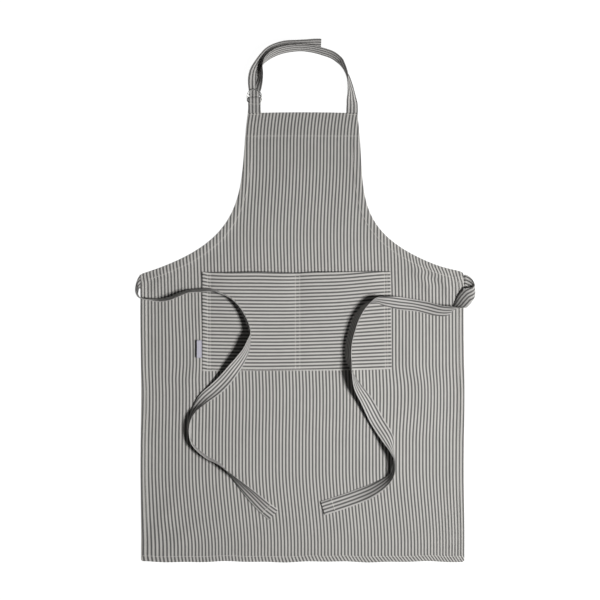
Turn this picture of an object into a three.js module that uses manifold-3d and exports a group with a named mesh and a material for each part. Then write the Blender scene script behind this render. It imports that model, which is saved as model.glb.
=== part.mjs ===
// A striped bib apron laid flat on its back: +X to the right, +Y from the hem to the neck loop,
// +Z out of the apron's front. Millimetres. The drawing starts from the middle of the bottom hem,
// and the finished group is moved so that its origin is the middle of its footprint, at z = 0.
import * as THREE from "three";
import { mergeVertices } from "three/addons/utils/BufferGeometryUtils.js";
import Module from "manifold-3d";

const wasm = await Module();
wasm.setup();

// Driving dimensions of the cloth panel.
const SKIRT_HALF = 325;
const SIDE_CORNER_Y = 578;
const BIB_HALF = 110;
const BIB_TOP_Y = 902;
const ARMHOLE_PULL = { bib: [132, 746], corner: [86, 651] };
const CLOTH = 1.0;
const HEM_RISE = 1.0; // a turned hem stands one more cloth high
const GAP = 0.3;
const HEM = { side: 12, bottom: 13, armhole: 17, bib: 48 };
const FACING_THICK = 0.7;

// The sewn thread rows.
const THREAD = { wide: 0.9, high: 0.3, edgeInset: 1.8 };

// The double pocket.
const POCKET = { left: -201.5, right: 176.5, bottom: 383.5, top: 582.5 };
const POCKET_SEAM = { left: 17, right: 13, bottom: 4, divider: 5 };
const POCKET_DIVIDER_X = -10;
const POCKET_GAPE = 5;
const POCKET_RAMP = 12;
const MOUTH_HEM = { deep: 16, extra: 0.6 };

// Tapes, rings and the label.
const TAPE_WIDTH = 28;
const TIE_THICK = 1.6;
const LIFT = 0.5; // clear height of a tie over the cloth below
const STRAP_THICK = 1.2;
const RING = { wire: 1.2, radius: 14.2, leg: 4.5, corner: 2 };
const BACK_RING = { barY: 924.9, barZ: 2.7, tilt: 0 };
const FRONT_RING = { barY: 930.6, barZ: 5.4, tilt: 8 }; // its bar rests on the back ring's legs
const TAB = { x: -96.6, width: 24, thick: 1.2 };
const LABEL = { wide: 10, high: 35.5, thick: 0.8, bottom: 410 };

const FRONT = CLOTH; // height of the plain cloth's front face
const HEM_FRONT = CLOTH + HEM_RISE;

// Striped cotton, white thread, nickel-plated wire and a pale woven label.
const cotton = new THREE.MeshStandardMaterial({ color: 0x9c9a97, roughness: 0.95, metalness: 0 });
const tape = new THREE.MeshStandardMaterial({ color: 0xa3a19d, roughness: 0.95, metalness: 0 });
const thread = new THREE.MeshStandardMaterial({ color: 0xd9d7d2, roughness: 0.8, metalness: 0 });
const nickel = new THREE.MeshStandardMaterial({ color: 0xb9bbbd, roughness: 0.28, metalness: 1 });
const woven = new THREE.MeshStandardMaterial({ color: 0xb4b4c0, roughness: 0.6, metalness: 0 });

const drawing = new THREE.Group();

function addPiece(name, geometry, material) {
  const piece = new THREE.Mesh(geometry, material);
  piece.name = name;
  drawing.add(piece);
  return piece;
}

// Booleans: a three.js geometry becomes a solid, and the result becomes a geometry again.
function toSolid(geometry) {
  const bare = geometry.clone();
  bare.deleteAttribute("normal");
  bare.deleteAttribute("uv");
  const merged = mergeVertices(bare, 1e-4);
  return new wasm.Manifold(
    new wasm.Mesh({
      numProp: 3,
      vertProperties: new Float32Array(merged.attributes.position.array),
      triVerts: new Uint32Array(merged.index.array),
    }),
  );
}

function toGeometry(solid) {
  const mesh = solid.getMesh();
  const geometry = new THREE.BufferGeometry();
  geometry.setAttribute("position", new THREE.BufferAttribute(mesh.vertProperties, 3));
  geometry.setIndex(new THREE.BufferAttribute(mesh.triVerts, 1));
  geometry.computeVertexNormals();
  return geometry;
}

// A flat outline raised between two heights.
function slab(points, low, high) {
  const outline = new THREE.Shape(points);
  const geometry = new THREE.ExtrudeGeometry(outline, { depth: high - low, bevelEnabled: false });
  return geometry.translate(0, 0, low);
}

function block([x0, x1], [y0, y1], [z0, z1]) {
  const geometry = new THREE.BoxGeometry(x1 - x0, y1 - y0, z1 - z0);
  return geometry.translate((x0 + x1) / 2, (y0 + y1) / 2, (z0 + z1) / 2);
}

// The right armhole: one hollow curve from the bib's top corner to the side corner.
const armhole = new THREE.CubicBezierCurve(
  new THREE.Vector2(BIB_HALF, BIB_TOP_Y),
  new THREE.Vector2(...ARMHOLE_PULL.bib),
  new THREE.Vector2(...ARMHOLE_PULL.corner),
  new THREE.Vector2(SKIRT_HALF, SIDE_CORNER_Y),
);

// The armhole curve moved a distance into the cloth, between two shares of its length.
function armholeLine(inset, from = 0, to = 1, steps = 22) {
  const points = [];
  for (let i = 0; i <= steps; i++) {
    const share = from + ((to - from) * i) / steps;
    const along = armhole.getTangentAt(share);
    const inward = new THREE.Vector2(along.y, -along.x);
    points.push(armhole.getPointAt(share).addScaledVector(inward, inset));
  }
  return points;
}

const mirrored = (points) => points.map((p) => new THREE.Vector2(-p.x, p.y));

// The panel's outline, or the same outline moved in by the hems.
function panelOutline(hem) {
  const top = BIB_TOP_Y - hem.bib;
  const side = SKIRT_HALF - hem.side;
  const right = armholeLine(hem.armhole).filter((p) => p.y < top + 1e-6 && p.x < side + 1e-6);
  const half = [new THREE.Vector2(right[0].x - 0.4, top), ...right];
  if (hem.side > 0) half.push(new THREE.Vector2(side, right[right.length - 1].y - hem.side));
  else half.shift();
  half.push(new THREE.Vector2(side, hem.bottom));
  return [...half, ...mirrored(half).reverse()];
}

// A pair of pieces, the second one the mirror image of the first.
function bothSides(name, makeGeometry, material) {
  for (const [side, sign] of [["right", 1], ["left", -1]]) {
    const solid = toSolid(makeGeometry()).scale([sign, 1, 1]);
    addPiece(`${name}_${side}`, toGeometry(solid), material);
  }
}

// A tape is a long box bent along hand-placed stations: [x, y, base, roll, width]. Base is the height
// of what the tape's lower edge rests on, and roll turns the tape on to its edge. No section goes
// below the table, and past the share layFrom each one is lifted clear of the cloth below it.
function ribbon(stations, thick, steps, layFrom = Infinity) {
  const centres = [];
  const shapes = [];
  for (const [x, y, base, roll, width = TAPE_WIDTH] of stations) {
    const turn = THREE.MathUtils.degToRad(roll);
    const rise = (width * Math.abs(Math.sin(turn)) + thick * Math.abs(Math.cos(turn))) / 2;
    centres.push(new THREE.Vector3(x, y, base + rise));
    shapes.push(new THREE.Vector3(turn, width, 0));
  }
  const path = new THREE.CatmullRomCurve3(centres, false, "centripetal");
  const shape = new THREE.CatmullRomCurve3(shapes, false, "catmullrom", 0.2);
  const up = new THREE.Vector3(0, 0, 1);

  // The four corners of the section at a share t of the length, as a function of (-0.5..0.5, -0.5..0.5).
  function sectionAt(t) {
    const { x: turn, y: width } = shape.getPoint(t);
    const centre = path.getPoint(t);
    const side = up.clone().cross(path.getTangent(t).setZ(0).normalize());
    const across = side.clone().multiplyScalar(Math.cos(turn)).addScaledVector(up, Math.sin(turn));
    const face = up.clone().multiplyScalar(Math.cos(turn)).addScaledVector(side, -Math.sin(turn));
    return (u, v) => centre.clone().addScaledVector(across, u * width).addScaledVector(face, v * thick);
  }

  const geometry = new THREE.BoxGeometry(1, 1, 1, 1, 1, steps);
  const place = geometry.attributes.position;
  for (let i = 0; i < place.count; i++) {
    const t = place.getZ(i) + 0.5;
    const corner = sectionAt(t);
    const point = corner(place.getX(i), place.getY(i));
    const corners = [corner(-0.5, -0.5), corner(-0.5, 0.5), corner(0.5, -0.5), corner(0.5, 0.5)];
    const clear = corners.map((p) => p.z - (t > layFrom ? clothHeight(p.x, p.y) + LIFT : 0));
    point.z += Math.max(0, -Math.min(...clear));
    place.setXYZ(i, point.x, point.y, point.z);
  }
  return geometry;
}

// A thread row laid across a tape near its end, following the tape's slope.
function rowAcross(stations, thick, backFromEnd) {
  const [[x1, y1, base], [x0, y0]] = [stations[stations.length - 1], stations[stations.length - 2]];
  const along = new THREE.Vector2(x1 - x0, y1 - y0).normalize();
  const geometry = new THREE.BoxGeometry(THREAD.wide, TAPE_WIDTH - 2, THREAD.high);
  geometry.rotateZ(along.angle());
  const z = base + LIFT + thick + GAP + THREAD.high / 2;
  return geometry.translate(x1 - along.x * backFromEnd, y1 - along.y * backFromEnd, z);
}

// Where a pair of sewn ends, of the ties and of the neck strap and tab, lie under the panel.
const TIE_END = { y: [531, 559], long: 34, thick: 0.7 };
const STRAP_END = { x: [86, 109], y: [BIB_TOP_Y - 36, BIB_TOP_Y - 0.8], thick: 0.7 };
const TAB_END = { x: [TAB.x - TAB.width / 2, TAB.x + TAB.width / 2], y: STRAP_END.y, thick: 0.7 };

// The facing runs under the armhole hem, from the bib's hem to just above the tie's sewn end.
const FACING = { from: 0.12, to: 0.95 };
function facing(grow) {
  const outer = armholeLine(1.5 - grow, FACING.from, FACING.to);
  const inner = armholeLine(HEM.armhole - 1 + grow, FACING.from, FACING.to);
  return slab([...outer, ...inner.reverse()], 0, FACING_THICK + grow);
}

function tieEnd(sign, grow) {
  const outer = sign * (SKIRT_HALF - 0.8 + grow);
  const inner = sign * (SKIRT_HALF - TIE_END.long - grow);
  const x = [Math.min(outer, inner), Math.max(outer, inner)];
  const y = [TIE_END.y[0] - grow, TIE_END.y[1] + grow];
  return block(x, y, [0, TIE_END.thick + grow]);
}

function topEnd(end, grow) {
  const x = [end.x[0] - grow, end.x[1] + grow];
  return block(x, [end.y[0] - grow, end.y[1] + grow], [0, end.thick + grow]);
}

// The panel: plain cloth with a raised hem all round, hollowed below over what is sewn to its back.
function panel() {
  const noHem = { side: 0, bottom: 0, armhole: 0, bib: 0 };
  let solid = toSolid(slab(panelOutline(noHem), 0, HEM_FRONT));
  solid = solid.subtract(toSolid(slab(panelOutline(HEM), FRONT, HEM_FRONT + 1)));
  for (const sign of [1, -1]) {
    solid = solid.subtract(toSolid(facing(GAP)).scale([sign, 1, 1]));
    const raised = block(
      sign > 0 ? [SKIRT_HALF - TIE_END.long - 6, SKIRT_HALF] : [-SKIRT_HALF, TIE_END.long + 6 - SKIRT_HALF],
      [TIE_END.y[0] - 6, TIE_END.y[1] + 6],
      [0.5, HEM_FRONT],
    );
    solid = solid.add(toSolid(raised)).subtract(toSolid(tieEnd(sign, GAP)));
  }
  for (const end of [STRAP_END, TAB_END]) solid = solid.subtract(toSolid(topEnd(end, GAP)));
  return toGeometry(solid);
}

// One compartment's height above its sewn edge, from 0 at the edge to the full gape past the ramp.
const ramp = (distance) => THREE.MathUtils.clamp(distance / POCKET_RAMP, 0, 1);

// The pocket: a cloth box, flat where it is sewn down and open along its top.
function pocket() {
  const flat = POCKET_SEAM;
  const dividerLeft = POCKET_DIVIDER_X - flat.divider;
  const dividerRight = POCKET_DIVIDER_X + flat.divider;
  const seamLeft = POCKET.left + flat.left;
  const seamRight = POCKET.right - flat.right;
  const xs = [POCKET.left, seamLeft, seamLeft + POCKET_RAMP, dividerLeft - POCKET_RAMP, dividerLeft];
  xs.push(dividerRight, dividerRight + POCKET_RAMP, seamRight - POCKET_RAMP, seamRight, POCKET.right);
  const seamBottom = POCKET.bottom + flat.bottom;
  const hemLine = POCKET.top - MOUTH_HEM.deep;
  const ys = [POCKET.bottom, seamBottom, seamBottom + POCKET_RAMP, hemLine - 1, hemLine, POCKET.top];
  const rise = (x, y) => {
    const fromSeam = x < POCKET_DIVIDER_X
      ? Math.min(x - seamLeft, dividerLeft - x)
      : Math.min(x - dividerRight, seamRight - x);
    return POCKET_GAPE * ramp(Math.min(fromSeam, y - seamBottom));
  };
  const geometry = new THREE.BoxGeometry(1, 1, 1, xs.length - 1, ys.length - 1, 1);
  const place = geometry.attributes.position;
  for (let i = 0; i < place.count; i++) {
    const x = xs[Math.round((place.getX(i) + 0.5) * (xs.length - 1))];
    const y = ys[Math.round((place.getY(i) + 0.5) * (ys.length - 1))];
    const above = place.getZ(i) > 0;
    const hem = above && y >= hemLine ? MOUTH_HEM.extra : 0;
    place.setXYZ(i, x, y, FRONT + GAP + rise(x, y) + (above ? CLOTH + hem : 0));
  }
  return geometry;
}

// The highest cloth or thread within a tape's step of a point on the front.
function clothHeight(x, y) {
  const reach = 8;
  if (Math.abs(x) > SKIRT_HALF + reach) return 0;
  const insideX = Math.min(x - POCKET.left, POCKET.right - x) + reach;
  const insideY = Math.min(y - POCKET.bottom, POCKET.top - y + POCKET_RAMP) + reach;
  const threadTop = GAP + THREAD.high;
  if (insideX > 0 && insideY > 0) {
    const rise = POCKET_GAPE * ramp(Math.min(insideX, insideY) - POCKET_SEAM.bottom);
    return FRONT + GAP + CLOTH + rise + MOUTH_HEM.extra + threadTop;
  }
  return Math.abs(x) > SKIRT_HALF - HEM.side - reach ? HEM_FRONT + threadTop : FRONT;
}

// A straight thread row on a level face: along Y at one x, or along X at one y.
function rowAlongY(x, [y0, y1], z) {
  return block([x - THREAD.wide / 2, x + THREAD.wide / 2], [y0, y1], [z + GAP, z + GAP + THREAD.high]);
}

function rowAlongX([x0, x1], y, z) {
  return block([x0, x1], [y - THREAD.wide / 2, y + THREAD.wide / 2], [z + GAP, z + GAP + THREAD.high]);
}

// A D-ring of round wire: a straight bar, two short legs and a half-circle arch, turned about its bar.
function dRing({ barY, barZ, tilt }) {
  const { radius, leg, corner } = RING;
  const half = [[0, 0], [(radius - corner) / 2, 0], [radius - corner, 0], [radius - 0.3 * corner, 0.3 * corner]];
  half.push([radius, corner]);
  const archSteps = 6;
  for (let i = 0; i <= archSteps; i++) {
    const angle = (Math.PI / 2) * (i / archSteps);
    half.push([radius * Math.cos(angle), leg + radius * Math.sin(angle)]);
  }
  const otherHalf = half.slice(1, -1).reverse().map(([x, y]) => [-x, y]);
  const points = [...half, ...otherHalf].map(([x, y]) => new THREE.Vector3(x, y, 0));
  const path = new THREE.CatmullRomCurve3(points, true, "centripetal");
  const geometry = new THREE.TubeGeometry(path, 48, RING.wire, 8, true);
  geometry.rotateX(THREE.MathUtils.degToRad(tilt));
  return geometry.translate(TAB.x, barY, barZ);
}

// The tab: a folded tape whose loop holds both rings' bars, closed below them by its stitching.
const clearance = RING.wire + GAP;
const TAB_HOLE = { bottom: BACK_RING.barY - clearance, top: FRONT_RING.barY + clearance };
const TAB_TOP = TAB_HOLE.top + TAB.thick;
function ringTab() {
  const backCeiling = BACK_RING.barZ + clearance;
  const frontCeiling = FRONT_RING.barZ + clearance;
  const slopeTop = FRONT_RING.barY - clearance;
  const section = new THREE.Shape();
  section.moveTo(BIB_TOP_Y + GAP, 0);
  section.lineTo(TAB_TOP, 0);
  section.lineTo(TAB_TOP, frontCeiling + TAB.thick);
  section.lineTo(slopeTop, frontCeiling + TAB.thick);
  section.lineTo(TAB_HOLE.bottom, backCeiling + TAB.thick);
  section.lineTo(TAB_HOLE.bottom - 5, 2 * TAB.thick);
  section.lineTo(BIB_TOP_Y + GAP, 2 * TAB.thick);
  const hole = new THREE.Path();
  hole.moveTo(TAB_HOLE.bottom, TAB.thick);
  hole.lineTo(TAB_HOLE.top, TAB.thick);
  hole.lineTo(TAB_HOLE.top, frontCeiling);
  hole.lineTo(slopeTop, frontCeiling);
  hole.lineTo(TAB_HOLE.bottom, backCeiling);
  section.holes.push(hole);
  return acrossX(section, TAB.x, TAB.width);
}

// A section drawn in (y, z), extruded along X and centred at one x.
function acrossX(section, x, width) {
  const geometry = new THREE.ExtrudeGeometry(section, { depth: width, bevelEnabled: false, curveSegments: 5 });
  geometry.rotateY(Math.PI / 2).rotateX(Math.PI / 2);
  return geometry.translate(x - width / 2, 0, 0);
}

// The neck strap: from its sewn end at the right it runs over the top on its edge, comes down to the
// rings, folds round the back ring's arch, and its free tail runs back up along its outside.
const FOLD = { y: 937, width: 19, low: 0, high: 4.2 };
const STRAP_STATIONS = [
  [99.6, BIB_TOP_Y + GAP, 0, 0, 22.5],
  [99.6, 904, 0, 0, 22.5],
  [99.2, 908, 0, 5, 23],
  [98.2, 918, 0, 26, 26],
  [97.8, 928, 0, 40, 28],
  [97.3, 940, 0, 52, 28],
  [95.0, 955, 0, 62, 28],
  [91.2, 970, 0, 70, 28],
  [84.0, 988, 0, 74, 28],
  [72.5, 1004, 0, 76, 28],
  [57.5, 1017, 0, 76, 28],
  [37.0, 1026.5, 0, 76, 28],
  [15.0, 1031, 0, 76, 28],
  [-3.0, 1032, 0, 76, 28],
  [-24.0, 1029.5, 0, 76, 28],
  [-44.0, 1024, 0, 76, 28],
  [-61.0, 1015, 0, 74, 28],
  [-74.5, 1001, 0, 68, 28],
  [-84.0, 984, 0, 52, 28],
  [-91.0, 967, 0, 26, 27],
  [-95.6, 953, 0, 4, 23],
  [-96.6, 945, 0, 0, 20],
  [-96.6, FOLD.y + 1, 0, 0, FOLD.width],
];
const TAIL_STATIONS = [
  [39.0, 1040.5, 0, 72, 28],
  [17.0, 1041.5, 0, 74, 28],
  [-8.0, 1044, 0, 76, 28],
  [-28.0, 1043, 0, 76, 28],
  [-50.0, 1037.5, 0, 76, 28],
  [-70.0, 1026.5, 0, 74, 28],
  [-84.0, 1009, 0, 66, 28],
  [-92.5, 990, 2.5, 44, 28],
  [-96.4, 974, 4.2, 20, 27],
  [-96.8, 958, 4.2, 3, 23],
  [-96.6, 949, 4.2, 0, 20],
  [-96.6, FOLD.y + 1, FOLD.high, 0, FOLD.width],
];

function neckStrap() {
  const middle = (FOLD.high + STRAP_THICK) / 2;
  const section = new THREE.Shape();
  section.absarc(FOLD.y + 1.5, middle, middle, Math.PI / 2, (3 * Math.PI) / 2, false);
  section.lineTo(FOLD.y + 2.5, 0);
  section.lineTo(FOLD.y + 2.5, STRAP_THICK);
  section.absarc(FOLD.y + 1.5, middle, middle - STRAP_THICK, (3 * Math.PI) / 2, Math.PI / 2, true);
  section.lineTo(FOLD.y + 2.5, FOLD.high);
  section.lineTo(FOLD.y + 2.5, FOLD.high + STRAP_THICK);
  const fold = toSolid(acrossX(section, TAB.x, FOLD.width));
  const main = toSolid(ribbon(STRAP_STATIONS, STRAP_THICK, 64));
  const tail = toSolid(ribbon(TAIL_STATIONS, STRAP_THICK, 40));
  return toGeometry(main.add(fold).add(tail));
}

// The waist ties: out from behind the side edge, round it on their edge, and down over the front.
const TIE_ROUND = 0.09; // the share of a tie's length that goes round the side edge
const LEFT_TIE = [
  [-325.6, 545, 0, 0],
  [-327.6, 545, 0, 6],
  [-331.5, 544.8, 0, 30],
  [-335.8, 541, 0, 68],
  [-335.6, 534, 1.6, 76],
  [-330, 529, 3.2, 74],
  [-314, 526.5, 3.2, 70],
  [-287, 524.5, FRONT, 70],
  [-262, 527.5, FRONT, 68],
  [-235, 535, FRONT, 66],
  [-214, 540, FRONT, 68],
  [-196, 541.5, FRONT, 70],
  [-172, 540, FRONT, 76],
  [-148, 530, FRONT, 80],
  [-126, 511, FRONT, 80],
  [-112, 489, FRONT, 76],
  [-107.5, 462, FRONT, 60],
  [-112, 434, FRONT, 40],
  [-126.5, 402, FRONT, 18],
  [-149, 373, FRONT, 8],
  [-176, 343, FRONT, 8],
  [-203, 313, FRONT, 30],
  [-223, 286, FRONT, 66],
  [-229, 258, FRONT, 76],
  [-215, 232, FRONT, 72],
  [-184, 209, FRONT, 62],
  [-158, 190, FRONT, 42],
  [-133, 166, FRONT, 16],
  [-99, 134, FRONT, 2],
  [-58, 95, FRONT, 0],
];
const RIGHT_TIE = [
  [325.6, 545, 0, 0],
  [328, 545, 0, -6],
  [333, 544.9, 0, -32],
  [339.5, 540, 0, -72],
  [339, 529, 2.4, -76],
  [331, 519.5, 3.2, -68],
  [317, 514.5, 3.2, -50],
  [296, 508.5, FRONT, -24],
  [268, 508.5, FRONT, -4],
  [240, 515, FRONT, 0],
  [214, 519.5, FRONT, 4],
  [186, 522, FRONT, 20],
  [160, 522, FRONT, 48],
  [136, 514, FRONT, 70],
  [117, 500, FRONT, 76],
  [104, 475, FRONT, 78],
  [95, 445, FRONT, 78],
  [91, 417, FRONT, 72],
  [97, 382, FRONT, 44],
  [112, 345, FRONT, 14],
  [129, 314, FRONT, 0],
  [149, 281, FRONT, 4],
  [169, 249, FRONT, 18],
  [182, 225, FRONT, 44],
  [186, 202, FRONT, 72],
  [181, 182, FRONT, 78],
  [168, 166, FRONT, 60],
  [143, 148, FRONT, 24],
  [114, 134, FRONT, 6],
  [80, 119.5, FRONT, 0],
  [42, 107.5, FRONT, 0],
];

// The body of cloth and what is sewn to it.
addPiece("apron_panel", panel(), cotton);
bothSides("armhole_facing", () => facing(0), cotton);
addPiece("tie_sewn_end_right", tieEnd(1, 0), tape);
addPiece("tie_sewn_end_left", tieEnd(-1, 0), tape);
addPiece("strap_sewn_end", topEnd(STRAP_END, 0), tape);
addPiece("ring_tab_sewn_end", topEnd(TAB_END, 0), tape);
addPiece("pocket_panel", pocket(), cotton);

// Thread rows on the body.
const hemRowX = SKIRT_HALF - HEM.side + THREAD.edgeInset;
const bottomRowY = HEM.bottom - THREAD.edgeInset;
const bibRowY = BIB_TOP_Y - HEM.bib + THREAD.edgeInset;
bothSides("side_hem_thread", () => rowAlongY(hemRowX, [HEM.bottom + 2, 520], HEM_FRONT), thread);
bothSides("armhole_thread", () => {
  const row = HEM.armhole - THREAD.edgeInset;
  const outer = armholeLine(row - THREAD.wide, 0.18, 0.9);
  const inner = armholeLine(row, 0.18, 0.9);
  return slab([...outer, ...inner.reverse()], HEM_FRONT + GAP, HEM_FRONT + GAP + THREAD.high);
}, thread);
addPiece("bottom_hem_thread", rowAlongX([-315, 315], bottomRowY, HEM_FRONT), thread);
addPiece("bib_hem_thread", rowAlongX([-112, 112], bibRowY, HEM_FRONT), thread);
addPiece("tab_fixing_thread", rowAlongX([-108, -85], BIB_TOP_Y - 3, HEM_FRONT), thread);
addPiece("strap_fixing_thread", rowAlongX([86, 108], BIB_TOP_Y - 3, HEM_FRONT), thread);
for (const [side, sign] of [["right", 1], ["left", -1]]) {
  const y = [TIE_END.y[0] + 4, TIE_END.y[1] - 4];
  const row = rowAlongY(sign * (SKIRT_HALF - 5), y, HEM_FRONT);
  addPiece(`tie_fixing_thread_${side}`, row, thread);
}

// Thread rows of the pocket: two rows up each side, two up the middle, one along the bottom.
const SEWN = FRONT + GAP + CLOTH;
const pocketRowY = [POCKET.bottom + POCKET_SEAM.bottom + 1, POCKET.top - MOUTH_HEM.deep - 2];
const pocketRows = {
  left_outer: POCKET.left + 10.7,
  left_inner: POCKET.left + 16,
  right_outer: POCKET.right - 7,
  right_inner: POCKET.right - 12,
  middle_left: POCKET_DIVIDER_X - POCKET_SEAM.divider + 0.6,
  middle_right: POCKET_DIVIDER_X + POCKET_SEAM.divider - 0.6,
};
for (const [place, x] of Object.entries(pocketRows))
  addPiece(`pocket_thread_${place}`, rowAlongY(x, pocketRowY, SEWN), thread);
const bottomRow = rowAlongX([POCKET.left + 2, POCKET.right - 2], POCKET.bottom + 2, SEWN);
addPiece("pocket_thread_bottom", bottomRow, thread);
const tackX = [POCKET.right - 12, POCKET.right - 3];
addPiece("pocket_corner_tack", rowAlongX(tackX, POCKET.top - 5, SEWN + MOUTH_HEM.extra), thread);

// The blank label stands out of the pocket's left seam.
const labelRight = POCKET.left - GAP;
const labelZ = [FRONT + GAP, FRONT + GAP + LABEL.thick];
const labelY = [LABEL.bottom, LABEL.bottom + LABEL.high];
addPiece("blank_label", block([labelRight - LABEL.wide, labelRight], labelY, labelZ), woven);

// The neck loop.
addPiece("ring_tab", ringTab(), tape);
addPiece("ring_tab_thread", rowAlongX([TAB.x - 11, TAB.x + 11], TAB_HOLE.bottom - 7, 2 * TAB.thick), thread);
addPiece("d_ring_back", dRing(BACK_RING), nickel);
addPiece("d_ring_front", dRing(FRONT_RING), nickel);
addPiece("neck_strap", neckStrap(), tape);

// The ties and the thread rows that hold their turned ends.
addPiece("waist_tie_left", ribbon(LEFT_TIE, TIE_THICK, 90, TIE_ROUND), tape);
addPiece("waist_tie_right", ribbon(RIGHT_TIE, TIE_THICK, 90, TIE_ROUND), tape);
addPiece("tie_end_thread_left", rowAcross(LEFT_TIE, TIE_THICK, 20), thread);
addPiece("tie_end_thread_right", rowAcross(RIGHT_TIE, TIE_THICK, 22), thread);

// The group's origin goes to the middle of the footprint, on the surface the apron lies on.
const apron = new THREE.Group();
apron.add(drawing);
const box = new THREE.Box3().setFromObject(drawing, true);
const middle = box.getCenter(new THREE.Vector3());
drawing.position.set(-middle.x, -middle.y, -box.min.z);

export default apron;
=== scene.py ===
"""The looks of a striped bib apron laid flat on its back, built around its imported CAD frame.

The cloth is worked out in millimetres on a drawing whose x = 0, y = 0 is the middle of the bottom hem,
+X to the right, +Y up to the neck and +Z out of the apron's front. to_row() moves it to the row frame."""

import math

import bpy
import numpy as np
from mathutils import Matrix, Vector
from mathutils.geometry import delaunay_2d_cdt
from mathutils.kdtree import KDTree


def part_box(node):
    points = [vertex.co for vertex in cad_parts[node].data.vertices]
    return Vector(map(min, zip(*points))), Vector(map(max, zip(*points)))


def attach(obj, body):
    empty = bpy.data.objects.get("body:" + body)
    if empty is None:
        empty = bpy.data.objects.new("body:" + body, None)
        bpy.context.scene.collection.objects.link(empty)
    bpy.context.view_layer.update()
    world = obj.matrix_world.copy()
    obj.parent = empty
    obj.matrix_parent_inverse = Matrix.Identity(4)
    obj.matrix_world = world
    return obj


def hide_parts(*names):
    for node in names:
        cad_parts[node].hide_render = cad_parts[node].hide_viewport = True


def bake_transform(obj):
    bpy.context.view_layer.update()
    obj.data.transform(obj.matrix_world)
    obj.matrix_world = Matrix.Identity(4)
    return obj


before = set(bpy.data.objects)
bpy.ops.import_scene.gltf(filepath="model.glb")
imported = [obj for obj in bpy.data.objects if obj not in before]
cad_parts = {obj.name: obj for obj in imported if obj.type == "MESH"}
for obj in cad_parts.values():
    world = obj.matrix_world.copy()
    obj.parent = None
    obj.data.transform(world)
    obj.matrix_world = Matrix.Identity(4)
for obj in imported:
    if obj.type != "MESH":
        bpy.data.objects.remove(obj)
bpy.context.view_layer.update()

MM = 0.001
panel_low, panel_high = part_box("apron_panel")
ORIGIN = np.array([(panel_low.x + panel_high.x) / 2, panel_low.y, 0.0])


def to_row(points):
    """Drawing millimetres as metres in the row frame."""
    return ORIGIN + np.asarray(points, float) * MM


def row_point(x, y, z):
    return tuple(to_row([x, y, z]))


# ---------------------------------------------------------------- small helpers


def ease(value, start, end):
    """0 before start, 1 after end, and a smooth step between."""
    t = np.clip((np.asarray(value, float) - start) / (end - start), 0, 1)
    return t * t * (3 - 2 * t)


def bump(value, centre, spread):
    """1 at centre, falling away smoothly over spread."""
    return np.exp(-(((np.asarray(value, float) - centre) / spread) ** 2))


def smooth_line(values, spread):
    """A Gaussian average along the first axis; spread is in samples."""
    values = np.asarray(values, float)
    reach = int(3 * spread) + 1
    offsets = np.arange(-reach, reach + 1)
    weights = np.exp(-0.5 * (offsets / spread) ** 2)
    weights /= weights.sum()
    flat = values.reshape(len(values), -1)
    padded = np.pad(flat, ((reach, reach), (0, 0)), mode="edge")
    columns = [np.convolve(padded[:, i], weights, mode="valid") for i in range(flat.shape[1])]
    return np.stack(columns, 1).reshape(values.shape)


def unit(vectors):
    return vectors / np.linalg.norm(vectors, axis=1)[:, None]


def length_along(path):
    """Each point's distance from the start of a polyline."""
    steps = np.linalg.norm(np.diff(path, axis=0), axis=1)
    return np.concatenate([[0], np.cumsum(steps)])


def curve_through(points, spacing):
    """Samples every spacing mm along a centripetal Catmull-Rom curve through points."""
    points = np.asarray(points, float)
    ghost_start = 2 * points[0] - points[1]
    ghost_end = 2 * points[-1] - points[-2]
    held = np.vstack([ghost_start, points, ghost_end])
    samples = []
    for i in range(len(points) - 1):
        p0, p1, p2, p3 = held[i : i + 4]
        t0 = 0.0
        t1 = t0 + math.sqrt(np.linalg.norm(p1 - p0))
        t2 = t1 + math.sqrt(np.linalg.norm(p2 - p1))
        t3 = t2 + math.sqrt(np.linalg.norm(p3 - p2))
        count = max(1, int(round(np.linalg.norm(p2 - p1) / spacing)))
        share = np.arange(count) / count
        t = (t1 + share * (t2 - t1))[:, None]
        a1 = (t1 - t) / (t1 - t0) * p0 + (t - t0) / (t1 - t0) * p1
        a2 = (t2 - t) / (t2 - t1) * p1 + (t - t1) / (t2 - t1) * p2
        a3 = (t3 - t) / (t3 - t2) * p2 + (t - t2) / (t3 - t2) * p3
        b1 = (t2 - t) / (t2 - t0) * a1 + (t - t0) / (t2 - t0) * a2
        b2 = (t3 - t) / (t3 - t1) * a2 + (t - t1) / (t3 - t1) * a3
        samples.append((t2 - t) / (t2 - t1) * b1 + (t - t1) / (t2 - t1) * b2)
    samples.append(points[-1:])
    return np.vstack(samples)


def resampled(points, spacing):
    """A polyline's points, moved so that they are evenly spaced along it."""
    points = np.asarray(points, float)
    along = length_along(points)
    count = max(2, int(round(along[-1] / spacing)) + 1)
    at = np.linspace(0, along[-1], count)
    return np.stack([np.interp(at, along, points[:, i]) for i in range(points.shape[1])], 1)


# ---------------------------------------------------------------- pieces


def add_mesh(name, points, faces, material, cloth=None):
    """A smooth mesh piece from drawing points. cloth gives each point's place on the flat cloth, in mm,
    across and along the stripes, and goes to the UV map Cloth at 100 mm to the unit."""
    mesh = bpy.data.meshes.new(name)
    mesh.from_pydata(to_row(points).tolist(), [], [list(map(int, f)) for f in faces])
    mesh.polygons.foreach_set("use_smooth", np.ones(len(mesh.polygons), bool))
    if cloth is not None:
        layer = mesh.uv_layers.new(name="Cloth")
        corner = np.zeros(len(mesh.loops), np.int32)
        mesh.loops.foreach_get("vertex_index", corner)
        layer.data.foreach_set("uv", (np.asarray(cloth, float)[corner] / 100).astype(np.float32).ravel())
    mesh.materials.append(material)
    mesh.update()
    piece = bpy.data.objects.new(name, mesh)
    bpy.context.scene.collection.objects.link(piece)
    return piece


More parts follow.
